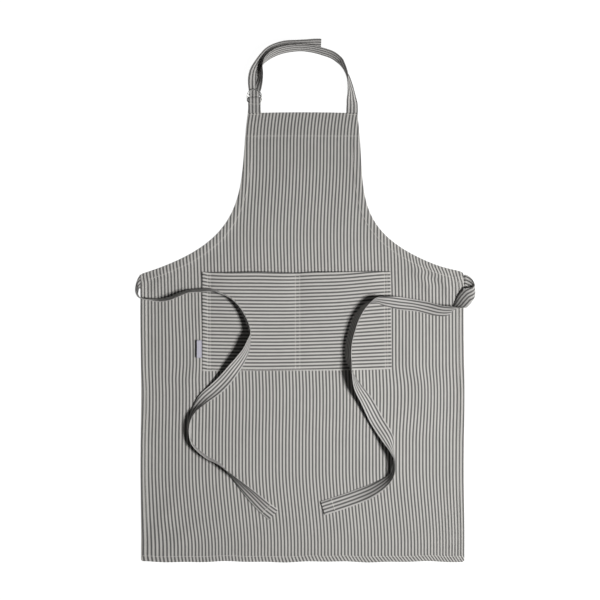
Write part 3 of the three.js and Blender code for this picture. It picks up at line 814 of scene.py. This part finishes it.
# Its free tail, from the fold at the rings back up along the strap's outside.
FOLD = {"y": 938.0, "width": 19.5, "low": 0.9, "high": 4.75}
TAIL_HEM = 21.0  # its turned end's row of stitches, back from the tail's end
TAIL = [
    [-96.6, 938, -180, 19.5, 0, 3.85],
    [-96.6, 945, -180, 21, 0, 3.85],
    [-96.6, 952, -178, 23, 0, 3.85],
    [-97, 962, -166, 24.5, 6, 3.2],
    [-97, 974, -150, 26, 8, 1.8],
    [-95, 987, -136, 26, 4, 0.6],
    [-89, 1000, -125, 26],
    [-81, 1013, -117, 26],
    [-70.4, 1025.5, -113, 26],
    [-55.3, 1034.5, -109, 26],
    [-33.6, 1040, -107, 26, 10],
    [-11.1, 1041, -106, 26, 16],
    [12, 1041.5, -112, 26, 12],
    [26, 1041.5, -120, 26, 6],
    [38.4, 1041, -124, 26],
]


def strap_frames():
    """The strap as one tape: its main run, the fold round the back ring, then the tail."""
    main = tape_frames(STRAP, thick=STRAP_THICK)
    tail = tape_frames(TAIL, thick=STRAP_THICK)
    radius = (FOLD["high"] - FOLD["low"]) / 2
    angle = np.radians(np.arange(15, 180, 15))
    count = len(angle)
    centre = np.column_stack([
        np.full(count, TAB_X),
        FOLD["y"] - 1 - radius * np.sin(angle),
        FOLD["low"] + radius * (1 - np.cos(angle)),
    ])
    across = np.tile([1.0, 0, 0], (count, 1))
    face = np.column_stack([np.zeros(count), np.sin(angle), np.cos(angle)])
    fold = (centre, across, face, np.full(count, FOLD["width"]), np.zeros(count))
    return tuple(np.concatenate(parts) for parts in zip(main, fold, tail))


# ---------------------------------------------------------------- thread

# A stitch's spacing, length, width and height in mm.
STITCH = {"pitch": 3.3, "long": 2.7, "wide": 0.78, "high": 0.4}
END_STITCH_STOUT = 1.6  # the ties' ends are sewn with a heavier stitch


def stitch_template():
    """One stitch along X: a little arch of thread whose ends go down into the cloth."""
    along = np.array([-0.5, -0.42, -0.2, 0.2, 0.42, 0.5])
    rise = np.array([-0.7, 0.1, 0.75, 0.75, 0.1, -0.7])
    size = np.array([0.55, 0.9, 1.0, 1.0, 0.9, 0.55])
    around = np.radians(np.arange(0, 360, 60))
    rings = []
    for a, r, s in zip(along, rise, size):
        y = 0.5 * STITCH["wide"] * s * np.cos(around)
        z = STITCH["high"] * (r + 0.75 * s * np.sin(around))
        rings.append(np.column_stack([np.full(6, a * STITCH["long"]), y, z]))
    points = np.vstack(rings)
    faces = []
    for ring in range(len(along) - 1):
        for i in range(6):
            j = (i + 1) % 6
            a, b = ring * 6 + i, ring * 6 + j
            faces.append([a, a + 6, b + 6, b])
    faces.append([0, 1, 2, 3, 4, 5])
    last = 6 * (len(along) - 1)
    faces.append([last + i for i in (5, 4, 3, 2, 1, 0)])
    return points, faces


STITCH_POINTS, STITCH_FACES = stitch_template()


def build_stitches(name, node, body, centres, alongs, ups, material, stout=1.0):
    """Stitches at centres, each along its own direction and standing on its own up, stout times as thick."""
    centres, alongs, ups = (np.asarray(v, float) for v in (centres, alongs, ups))
    alongs = unit(alongs)
    sides = unit(np.cross(ups, alongs))
    ups = np.cross(alongs, sides)
    local = STITCH_POINTS * [1, stout, stout]
    placed = (
        centres[:, None, :]
        + local[None, :, :1] * alongs[:, None, :]
        + local[None, :, 1:2] * sides[:, None, :]
        + local[None, :, 2:] * ups[:, None, :]
    )
    faces = []
    for i in range(len(centres)):
        faces += [[v + i * len(local) for v in f] for f in STITCH_FACES]
    piece = add_mesh(name, placed.reshape(-1, 3), faces, material)
    stand_in(piece, node, body)


def row_on(surface, move, path):
    """Stitch centres, directions and ups along a path of pattern points, on a surface."""
    points = resampled(path, STITCH["pitch"])
    middle = (points[1:] + points[:-1]) / 2
    heading = points[1:] - points[:-1]
    reach = 0.35
    a, b = middle - heading * reach, middle + heading * reach
    ends = []
    for p in (a, b):
        x, y = move(p[:, 0], p[:, 1])
        ends.append(np.column_stack([x, y, surface(p[:, 0], p[:, 1])[0]]))
    centres = (ends[0] + ends[1]) / 2
    alongs = ends[1] - ends[0]
    ups = np.tile([0, 0, 1.0], (len(centres), 1))
    return centres, alongs, ups


def offset_armhole(inset, start, end):
    """The right armhole's curve moved into the cloth, between two shares of its length."""
    curve = resampled(RIGHT_ARMHOLE, 2.0)
    along = unit(np.gradient(curve, axis=0))
    inward = np.stack([along[:, 1], -along[:, 0]], 1)
    count = len(curve)
    chosen = slice(int(start * count), int(end * count))
    return (curve + inward * inset)[chosen]


def row_across(frames, thick, back_from_end):
    """Stitches across a tape, a distance before its end, on the face that looks up."""
    face = frames[2]
    i = int(np.argmin(np.abs(distance_to_end(frames) - back_from_end)))
    upward = np.sign(face[i][2])
    one = tuple(part[i : i + 1] for part in frames)
    line = section_points(*one, np.full(SECTION, upward * (thick[i] / 2 + 0.15)))[0]
    points = resampled(line, STITCH["pitch"])[:-1]
    points = points + (line[-1] - points[-1] + line[0] - points[0]) / 2
    alongs = np.gradient(points, axis=0)
    return points, alongs, np.tile(upward * face[i], (len(points), 1))


# ---------------------------------------------------------------- materials


class Nodes:
    """A material's node tree, with short calls for the nodes that these materials use."""

    def __init__(self, name):
        self.material = bpy.data.materials.new(name)
        self.material.use_nodes = True
        self.tree = self.material.node_tree
        self.tree.nodes.clear()
        self.output = self.tree.nodes.new("ShaderNodeOutputMaterial")
        self.shader = self.tree.nodes.new("ShaderNodeBsdfPrincipled")
        self.link(self.shader.outputs[0], self.output.inputs["Surface"])

    def link(self, source, target):
        self.tree.links.new(source, target)

    def put(self, node, name, value):
        """Sets an input to a number, colour or another node's output."""
        socket = node.inputs[name]
        if isinstance(value, bpy.types.NodeSocket):
            self.link(value, socket)
        else:
            socket.default_value = value

    def math(self, operation, a, b=0.0, c=0.0):
        node = self.tree.nodes.new("ShaderNodeMath")
        node.operation = operation
        for i, value in enumerate((a, b, c)):
            self.put(node, i, value)
        return node.outputs[0]

    def mix(self, share, a, b):
        node = self.tree.nodes.new("ShaderNodeMix")
        node.data_type = "RGBA"
        self.put(node, 0, share)
        self.put(node, 6, a)
        self.put(node, 7, b)
        return node.outputs[2]

    def scaled(self, colour, factor):
        """A colour times a number."""
        node = self.tree.nodes.new("ShaderNodeVectorMath")
        node.operation = "SCALE"
        self.put(node, 0, colour)
        self.put(node, "Scale", factor)
        return node.outputs[0]

    def cloth_place(self):
        """The piece's place on its flat cloth, from its UV map, in mm: across and along the stripes."""
        node = self.tree.nodes.new("ShaderNodeUVMap")
        node.uv_map = "Cloth"
        split = self.tree.nodes.new("ShaderNodeSeparateXYZ")
        self.link(node.outputs[0], split.inputs[0])
        return self.math("MULTIPLY", split.outputs[0], 100.0), self.math("MULTIPLY", split.outputs[1], 100.0)

    def vector(self, x, y, z=0.0):
        node = self.tree.nodes.new("ShaderNodeCombineXYZ")
        for i, value in enumerate((x, y, z)):
            self.put(node, i, value)
        return node.outputs[0]

    def noise(self, place, scale, detail=2.0, roughness=0.5):
        node = self.tree.nodes.new("ShaderNodeTexNoise")
        self.link(place, node.inputs["Vector"])
        node.inputs["Scale"].default_value = scale
        node.inputs["Detail"].default_value = detail
        node.inputs["Roughness"].default_value = roughness
        return node.outputs[0]

    def object_place(self, scale=1000.0):
        """Object coordinates in mm."""
        node = self.tree.nodes.new("ShaderNodeTexCoord")
        scaled = self.tree.nodes.new("ShaderNodeVectorMath")
        scaled.operation = "SCALE"
        self.link(node.outputs["Object"], scaled.inputs[0])
        scaled.inputs["Scale"].default_value = scale
        return scaled.outputs[0]

    def bumped(self, height, distance_mm, strength=1.0):
        node = self.tree.nodes.new("ShaderNodeBump")
        node.inputs["Strength"].default_value = strength
        node.inputs["Distance"].default_value = distance_mm * MM
        self.link(height, node.inputs["Height"])
        self.link(node.outputs[0], self.shader.inputs["Normal"])


def srgb(red, green, blue):
    """A colour given as the eye sees it, 0 to 255, in linear light."""
    def linear(value):
        value /= 255
        return value / 12.92 if value <= 0.04045 else ((value + 0.055) / 1.055) ** 2.4

    return (linear(red), linear(green), linear(blue), 1.0)


PANEL_PITCH, POCKET_PITCH, TAPE_PITCH = 6.72, 6.96, 6.9
DARK_YARN, LIGHT_YARN = srgb(93, 92, 91), srgb(184, 182, 178)


def striped_cloth(name, pitch, phase=0.0, dark=DARK_YARN, light=LIGHT_YARN, yarn=0.62):
    """Hickory-striped cotton: dark and light warp stripes, a fine twill weave and slubs along the yarn."""
    n = Nodes(name)
    across, along = n.cloth_place()
    fine = n.noise(n.vector(n.math("MULTIPLY", across, 0.9), n.math("MULTIPLY", along, 0.22)), 1.1, 3.0, 0.6)
    drift = n.noise(n.vector(n.math("MULTIPLY", across, 0.03), n.math("MULTIPLY", along, 0.012)), 1.0, 2.0)
    jitter = n.math("MULTIPLY", n.math("SUBTRACT", fine, 0.5), 0.34)
    wander = n.math("MULTIPLY", n.math("SUBTRACT", drift, 0.5), 0.5)
    repeat = n.math("ADD", n.math("DIVIDE", across, pitch), phase)
    place = n.math("ADD", repeat, n.math("MULTIPLY", wander, 0.25))
    wave = n.math("SINE", n.math("MULTIPLY", place, 2 * math.pi))
    edge = n.math("ADD", n.math("MULTIPLY", wave, 2.2), n.math("ADD", jitter, 0.08))
    stripe = n.math("MULTIPLY_ADD", edge, 0.42, 0.5)
    stripe = n.math("MINIMUM", n.math("MAXIMUM", stripe, 0.0), 1.0)
    twill = n.math("SINE", n.math("MULTIPLY", n.math("ADD", across, along), 2 * math.pi / (yarn * 1.5)))
    weft = n.math("SINE", n.math("MULTIPLY", along, 2 * math.pi / yarn))
    warp = n.math("SINE", n.math("MULTIPLY", across, 2 * math.pi / yarn))
    crossing = n.math("MULTIPLY", n.math("MULTIPLY", weft, warp), 0.5)
    weave = n.math("ADD", crossing, n.math("MULTIPLY", twill, 0.5))
    base = n.mix(stripe, dark, light)
    slub = n.noise(n.vector(n.math("MULTIPLY", across, 1.6), n.math("MULTIPLY", along, 0.05)), 1.0, 3.0, 0.65)
    tone = n.math("ADD", n.math("MULTIPLY", weave, 0.07), n.math("MULTIPLY_ADD", slub, 0.34, 0.83))
    blotch = n.noise(n.vector(n.math("MULTIPLY", across, 0.02), n.math("MULTIPLY", along, 0.02)), 1.0, 3.0)
    tone = n.math("MULTIPLY", tone, n.math("MULTIPLY_ADD", blotch, 0.10, 0.95))
    n.put(n.shader, "Base Color", n.scaled(base, tone))
    n.put(n.shader, "Roughness", n.math("MULTIPLY_ADD", slub, 0.12, 0.84))
    n.put(n.shader, "Sheen Weight", 0.12)
    n.put(n.shader, "Sheen Roughness", 0.5)
    n.put(n.shader, "Specular IOR Level", 0.22)
    height = n.math("ADD", n.math("MULTIPLY", weave, 0.5), n.math("MULTIPLY", slub, 0.8))
    n.bumped(height, 0.10, 0.7)
    return n.material


def cotton_thread():
    n = Nodes("cotton_thread")
    place = n.object_place()
    ply = n.noise(place, 2.4, 3.0, 0.6)
    n.put(n.shader, "Base Color", n.mix(ply, srgb(176, 173, 168), srgb(232, 230, 224)))
    n.put(n.shader, "Roughness", n.math("MULTIPLY_ADD", ply, 0.2, 0.6))
    n.put(n.shader, "Sheen Weight", 0.2)
    n.bumped(ply, 0.08, 0.6)
    return n.material


def ring_steel():
    n = Nodes("ring_steel")
    place = n.object_place()
    grain = n.noise(place, 1.3, 4.0, 0.6)
    n.put(n.shader, "Base Color", n.mix(grain, srgb(172, 172, 170), srgb(204, 203, 200)))
    n.put(n.shader, "Metallic", 1.0)
    n.put(n.shader, "Roughness", n.math("MULTIPLY_ADD", grain, 0.2, 0.34))
    n.bumped(grain, 0.02, 0.5)
    return n.material


def label_weave():
    n = Nodes("label_weave")
    across, along = n.cloth_place()
    rib = n.math("SINE", n.math("MULTIPLY", along, 2 * math.pi / 0.42))
    fill = n.math("SINE", n.math("MULTIPLY", across, 2 * math.pi / 0.5))
    weave = n.math("ADD", n.math("MULTIPLY", rib, 0.5), n.math("MULTIPLY", fill, 0.3))
    shade = n.noise(n.vector(across, along), 0.8, 3.0, 0.6)
    base = n.mix(shade, srgb(128, 127, 137), srgb(168, 166, 178))
    n.put(n.shader, "Base Color", n.scaled(base, n.math("MULTIPLY_ADD", weave, 0.06, 1.0)))
    n.put(n.shader, "Roughness", n.math("MULTIPLY_ADD", shade, 0.2, 0.45))
    n.put(n.shader, "Sheen Weight", 0.15)
    n.bumped(weave, 0.06, 0.6)
    return n.material


panel_cloth = striped_cloth("striped_cotton", PANEL_PITCH)
pocket_cloth = striped_cloth("striped_cotton_crosswise", POCKET_PITCH, 0.2)
tape_cloth = striped_cloth("striped_tape", TAPE_PITCH, 0.3, srgb(89, 88, 87), srgb(179, 177, 174))
thread = cotton_thread()
steel = ring_steel()
label_cloth = label_weave()


# ---------------------------------------------------------------- the body of cloth

panel = build_panel(panel_cloth)
stand_in(panel, "apron_panel", "apron")

pocket = build_pocket(pocket_cloth)
stand_in(pocket, "pocket_panel", "apron")

FACING_SHARE = (0.12, 0.93)


def build_facing(side, sign):
    """The strip sewn behind an armhole hem, as a thin closed tape along the curve."""
    line = offset_armhole(9.0, *FACING_SHARE) * [sign, 1]
    line = resampled(line, 4.0)
    frames = flat_frames(line, 14.0, 4.0, 0.42)
    centre = frames[0]
    centre[:, 0], centre[:, 1] = settle(centre[:, 0], centre[:, 1])
    piece, length = build_tape(f"armhole_facing_{side}_cloth", frames, 0.6, panel_cloth)
    stand_in(piece, f"armhole_facing_{side}", "apron")
    return piece


for side, sign in (("right", 1), ("left", -1)):
    build_facing(side, sign)

# ---------------------------------------------------------------- the ties

ROOT_IN = 30.0  # how far a tie's root goes in under the panel
ROOT_LOW, ROOT_THICK = 0.37, 0.66  # a pressed root's middle height and thickness


def build_tie(side, stations, sign):
    """A tie on its own body, and the root that carries it out from under the panel's side."""
    body = f"{side}_tie"
    frames = tape_frames(stations)
    end_row = 20.0 if side == "left" else 22.0
    thick = hemmed(frames, TIE_THICK, end_row)
    tie, length = build_tape(f"{side}_tie_tape", frames, thick, tape_cloth)
    stand_in(tie, f"waist_tie_{side}", body)
    edge = sign * SKIRT_HALF
    inner = [[edge - sign * (ROOT_IN - i * 3.0), TIE_Y] for i in range(int(ROOT_IN / 3) + 1)]
    inner.append([edge + sign * 2.6, TIE_Y])
    root_frames = flat_frames(inner, 27.6, 1.5, ROOT_LOW)
    root, root_length = build_tape(f"{side}_tie_root", root_frames, ROOT_THICK, tape_cloth)
    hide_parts(f"tie_sewn_end_{side}")
    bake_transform(root)
    centres, alongs, ups = row_across(frames, thick, end_row)
    name, node = f"{side}_tie_end_stitching", f"tie_end_thread_{side}"
    build_stitches(name, node, body, centres, alongs, ups, thread, END_STITCH_STOUT)


build_tie("left", LEFT_TIE, -1)
build_tie("right", RIGHT_TIE, 1)

# ---------------------------------------------------------------- the neck loop

strap_path = strap_frames()
strap_thick = hemmed(strap_path, STRAP_THICK, TAIL_HEM)
strap, strap_length = build_tape("neck_strap_tape", strap_path, strap_thick, tape_cloth)
stand_in(strap, "neck_strap", "neck_loop")


def build_top_root(name, node, x, width):
    """The end of the strap or the tab, from under the bib's hem to just past its top edge."""
    points = [[x, y] for y in np.arange(866, 906, 3.0)]
    root, root_length = build_tape(name, flat_frames(points, width, 1.5, ROOT_LOW), ROOT_THICK, tape_cloth)
    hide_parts(node)
    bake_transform(root)


build_top_root("strap_root", "strap_sewn_end", STRAP_X, 22.2)
build_top_root("tab_root", "ring_tab_sewn_end", TAB_X, 23.6)

# The tab: a tape folded round both rings' bars, its two layers stitched together below them.
TAB_LOOP = [
    [902.3, 1.7],
    [910, 1.65],
    [917, 1.7],
    [920.6, 2.05],
    [922.6, 3.5],
    [924.8, 4.7],
    [928, 6.6],
    [930.6, 7.3],
    [932.8, 6.6],
    [933.8, 4.6],
    [933.2, 2.2],
    [930.5, 0.75],
    [926, 0.6],
    [914, 0.6],
    [902.3, 0.6],
]


def build_tab():
    """The folded tab, a little wider where it leaves the bib."""
    loop = np.array(TAB_LOOP)
    path = curve_through(loop, 1.2)
    count = len(path)
    heading = unit(np.gradient(path, axis=0))
    centre = np.column_stack([np.full(count, TAB_X), path])
    across = np.tile([1.0, 0, 0], (count, 1))
    face = np.column_stack([np.zeros(count), heading[:, 1] * -1, heading[:, 0]])
    wide = 24.4 + 1.6 * (1 - ease(path[:, 0], 902, 912))
    return build_tape("ring_tab_tape", (centre, across, face, wide, np.zeros(count)), 1.0, tape_cloth)


tab, tab_length = build_tab()
stand_in(tab, "ring_tab", "neck_loop")

# The D-rings.
# Radii of the wire, the arch and the bends by the bar; leg is how far the arch's middle is from the bar.
RING = {"wire": 1.15, "radius": 14.2, "leg": 4.5, "corner": 2.4}


def build_ring(name, node, body, bar_y, bar_z, tilt):
    """A D-ring of round wire: a straight bar with round corners and a half-circle arch, leaned by tilt."""
    radius, leg, corner = RING["radius"], RING["leg"], RING["corner"]
    half = [[0, 0], [radius * 0.4, 0], [radius - corner, 0]]
    for step in (30, 60, 90):
        turn = math.radians(step)
        half.append([radius - corner + corner * math.sin(turn), corner - corner * math.cos(turn)])
    for step in range(0, 91, 10):
        turn = math.radians(step)
        half.append([radius * math.cos(turn), leg + radius * math.sin(turn)])
    points = half + [[-x, y] for x, y in half[1:-1][::-1]] + [half[0]]
    path = curve_through(points, 0.8)[:-1]
    ahead = unit(np.roll(path, -1, axis=0) - np.roll(path, 1, axis=0))
    outward = np.column_stack([ahead[:, 1], -ahead[:, 0]])
    sides = 14
    around = np.linspace(0, 2 * np.pi, sides, endpoint=False)
    wire = RING["wire"]
    ring = []
    for a in around:
        flat = path + outward * wire * math.cos(a)
        ring.append(np.column_stack([flat, np.full(len(path), wire * math.sin(a))]))
    points = np.stack(ring, 1)
    lean = math.radians(tilt)
    y, z = points[..., 1].copy(), points[..., 2].copy()
    points[..., 1] = y * math.cos(lean) - z * math.sin(lean) + bar_y
    points[..., 2] = y * math.sin(lean) + z * math.cos(lean) + bar_z
    points[..., 0] += TAB_X
    rows = len(path)
    faces = []
    for i in range(rows):
        for j in range(sides):
            a, b = i * sides + j, i * sides + (j + 1) % sides
            c, d = ((i + 1) % rows) * sides + (j + 1) % sides, ((i + 1) % rows) * sides + j
            faces.append([a, d, c, b])
    piece = add_mesh(name, points.reshape(-1, 3), faces, steel)
    stand_in(piece, node, body)


build_ring("back_ring_wire", "d_ring_back", "neck_loop", 924.9, 2.7, 0)
build_ring("front_ring_wire", "d_ring_front", "front_ring", 930.6, 5.4, 8)

# ---------------------------------------------------------------- the label

LABEL = {"wide": 10.0, "high": 35.5, "bottom": 410.0}


def build_label():
    """A blank woven tag, folded in two and caught in the pocket's left seam."""
    seam = POCKET["left"] - 0.8
    wide = LABEL["wide"]
    base = FRONT + 0.45
    section = np.array([
        [0, 0.4], [-2, 0.6], [-4.5, 1.9], [-7.5, 3.9], [-9.4, 5.2], [-wide, 5.2],
        [-9.9, 4.5], [-8, 3.2], [-5, 1.4], [-2.2, 0.25], [0, 0.1],
    ])
    path = curve_through(section, 0.5)
    ys = np.linspace(LABEL["bottom"], LABEL["bottom"] + LABEL["high"], 22)
    heading = unit(np.gradient(path, axis=0))
    normal = np.column_stack([heading[:, 1], -heading[:, 0]])
    half = 0.16
    loop = np.vstack([path + normal * half, (path - normal * half)[::-1]])
    count = len(loop)
    rings = []
    for i, y in enumerate(ys):
        bow = 0.25 * math.sin(i / 3.0)
        rise = base + loop[:, 1] + bow * -loop[:, 0] / wide
        rings.append(np.column_stack([seam + loop[:, 0], np.full(count, y) + 0.02 * loop[:, 0], rise]))
    points = np.vstack(rings)
    index = np.arange(len(ys) * count).reshape(len(ys), count)
    wrapped = np.concatenate([index, index[:, :1]], axis=1)
    quads = np.stack([wrapped[:-1, :-1], wrapped[:-1, 1:], wrapped[1:, 1:], wrapped[1:, :-1]], -1)
    faces = quads.reshape(-1, 4).tolist()
    sides = len(path)
    for row, flip in ((index[0], True), (index[-1], False)):
        for i in range(sides - 1):
            quad = [row[i], row[i + 1], row[2 * sides - 2 - i], row[2 * sides - 1 - i]]
            faces.append(quad[::-1] if flip else quad)
    across = length_along(path)
    round_fold = np.concatenate([across, across[::-1]])
    cloth = np.stack([np.tile(round_fold, len(ys)), np.repeat(ys, count)], 1)
    piece = add_mesh("blank_label_tag", points, faces, label_cloth, cloth)
    stand_in(piece, "blank_label", "label")


build_label()

# ---------------------------------------------------------------- stitching


def line_x(x_range, y):
    return np.array([[x_range[0], y], [x_range[1], y]], float)


def line_y(x, y_range):
    return np.array([[x, y_range[0]], [x, y_range[1]]], float)


def sew_panel(name, node, path):
    path = resampled(path, 2.0)
    build_stitches(name, node, "apron", *row_on(panel_shape, settle, path), thread)


def sew_pocket(name, node, path):
    path = resampled(path, 2.0)
    build_stitches(name, node, "apron", *row_on(pocket_shape, settle_pocket, path), thread)


side_row = SKIRT_HALF - HEM["side"] + STITCH_INSET
for side, sign in (("right", 1), ("left", -1)):
    sew_panel(f"side_hem_stitching_{side}", f"side_hem_thread_{side}", line_y(sign * side_row, (6, 562)))
    armhole_row = offset_armhole(HEM["armhole"] - STITCH_INSET, 0.13, 0.97) * [sign, 1]
    sew_panel(f"armhole_stitching_{side}", f"armhole_thread_{side}", armhole_row)
    sew_panel(f"tie_fixing_stitching_{side}", f"tie_fixing_thread_{side}",
              line_y(sign * (SKIRT_HALF - 5), (TIE_END_Y[0] + 2, TIE_END_Y[1] - 2)))
bottom_row, bib_row = HEM["bottom"] - STITCH_INSET, BIB_TOP_Y - HEM["bib"] + STITCH_INSET
sew_panel("bottom_hem_stitching", "bottom_hem_thread", line_x((-322, 322), bottom_row))
sew_panel("bib_hem_stitching", "bib_hem_thread", line_x((-112, 112), bib_row))
fixing_row = BIB_TOP_Y - 3
sew_panel("tab_fixing_stitching", "tab_fixing_thread", line_x((TAB_X - 13, TAB_X + 13), fixing_row))
sew_panel("strap_fixing_stitching", "strap_fixing_thread", line_x((STRAP_X - 12, STRAP_X + 10), fixing_row))

for place, x in POCKET_ROWS.items():
    top = POCKET["top"] - (4 if "middle" not in place else 7)
    sew_pocket(f"pocket_stitching_{place}", f"pocket_thread_{place}", line_y(x, (POCKET["bottom"] + 4, top)))
sew_pocket("pocket_stitching_bottom", "pocket_thread_bottom",
           line_x((POCKET["left"] + 2, POCKET["right"] - 2), POCKET_BOTTOM_ROW))
sew_pocket("pocket_corner_tack_stitching", "pocket_corner_tack",
           line_x((POCKET["right"] - 12, POCKET["right"] - 2), POCKET["top"] - 5))

TAB_ROW = {"y": 920.3, "high": 2.6, "stitches": 7}
tab_count = TAB_ROW["stitches"]
tab_x = TAB_X + (np.arange(tab_count) - (tab_count - 1) / 2) * STITCH["pitch"]
tab_centres = np.column_stack([tab_x, np.full(tab_count, TAB_ROW["y"]), np.full(tab_count, TAB_ROW["high"])])
build_stitches("tab_stitching", "ring_tab_thread", "neck_loop", tab_centres,
               np.tile([1.0, 0, 0], (tab_count, 1)), np.tile([0, 0, 1.0], (tab_count, 1)), thread)

# ---------------------------------------------------------------- floor, light and camera

FLOOR_REACH, FLOOR_Z = 40.0, -0.0004
floor_mesh = bpy.data.meshes.new("floor")
floor_corners = [(x * FLOOR_REACH, y * FLOOR_REACH, FLOOR_Z) for x, y in ((-1, -1), (1, -1), (1, 1), (-1, 1))]
floor_mesh.from_pydata(floor_corners, [], [(0, 1, 2, 3)])
floor = bpy.data.objects.new("floor", floor_mesh)
bpy.context.scene.collection.objects.link(floor)
white = Nodes("white_floor")
white.put(white.shader, "Base Color", (0.12, 0.12, 0.12, 1))
white.put(white.shader, "Roughness", 1.0)
white.put(white.shader, "Specular IOR Level", 0.0)
white.put(white.shader, "Emission Color", (1, 1, 1, 1))
white.put(white.shader, "Emission Strength", 0.98)
floor_mesh.materials.append(white.material)

# The key light: angles in degrees, distance and size in metres.
KEY = {"azimuth": -14.0, "elevation": 53.0, "distance": 3.4, "size": 0.8, "watts": 17.5, "spread": 60.0}
lit_middle = Vector(row_point(10, 410, 0))

key_data = bpy.data.lights.new("key", "AREA")
key_data.shape = "DISK"
key_data.size = KEY["size"]
key_data.energy = KEY["watts"]
key_data.spread = math.radians(KEY["spread"])
key = bpy.data.objects.new("key", key_data)
bpy.context.scene.collection.objects.link(key)
azimuth, elevation = math.radians(KEY["azimuth"]), math.radians(KEY["elevation"])
level = math.cos(elevation)
toward = Vector((math.cos(azimuth) * level, math.sin(azimuth) * level, math.sin(elevation)))
key.location = lit_middle + toward * KEY["distance"]
key.rotation_mode = "QUATERNION"
key.rotation_quaternion = toward.to_track_quat("Z", "Y")

world = bpy.data.worlds.new("studio")
bpy.context.scene.world = world
world.use_nodes = True
background = world.node_tree.nodes["Background"]
background.inputs["Color"].default_value = (1, 1, 1, 1)
background.inputs["Strength"].default_value = 0.07

bpy.context.scene.view_settings.view_transform = "Standard"

CAMERA_HEIGHT = 3.352  # metres over the floor, looking straight down
camera_data = bpy.data.cameras.new("camera")
camera_data.lens = 100
camera_data.sensor_width = 36
camera = bpy.data.objects.new("camera", camera_data)
bpy.context.scene.collection.objects.link(camera)
centre_x, centre_y, _ = row_point(-5.0, 526.3, 0)
camera.location = (centre_x, centre_y, CAMERA_HEIGHT)
camera.rotation_euler = (0, 0, 0)
bpy.context.scene.camera = camera
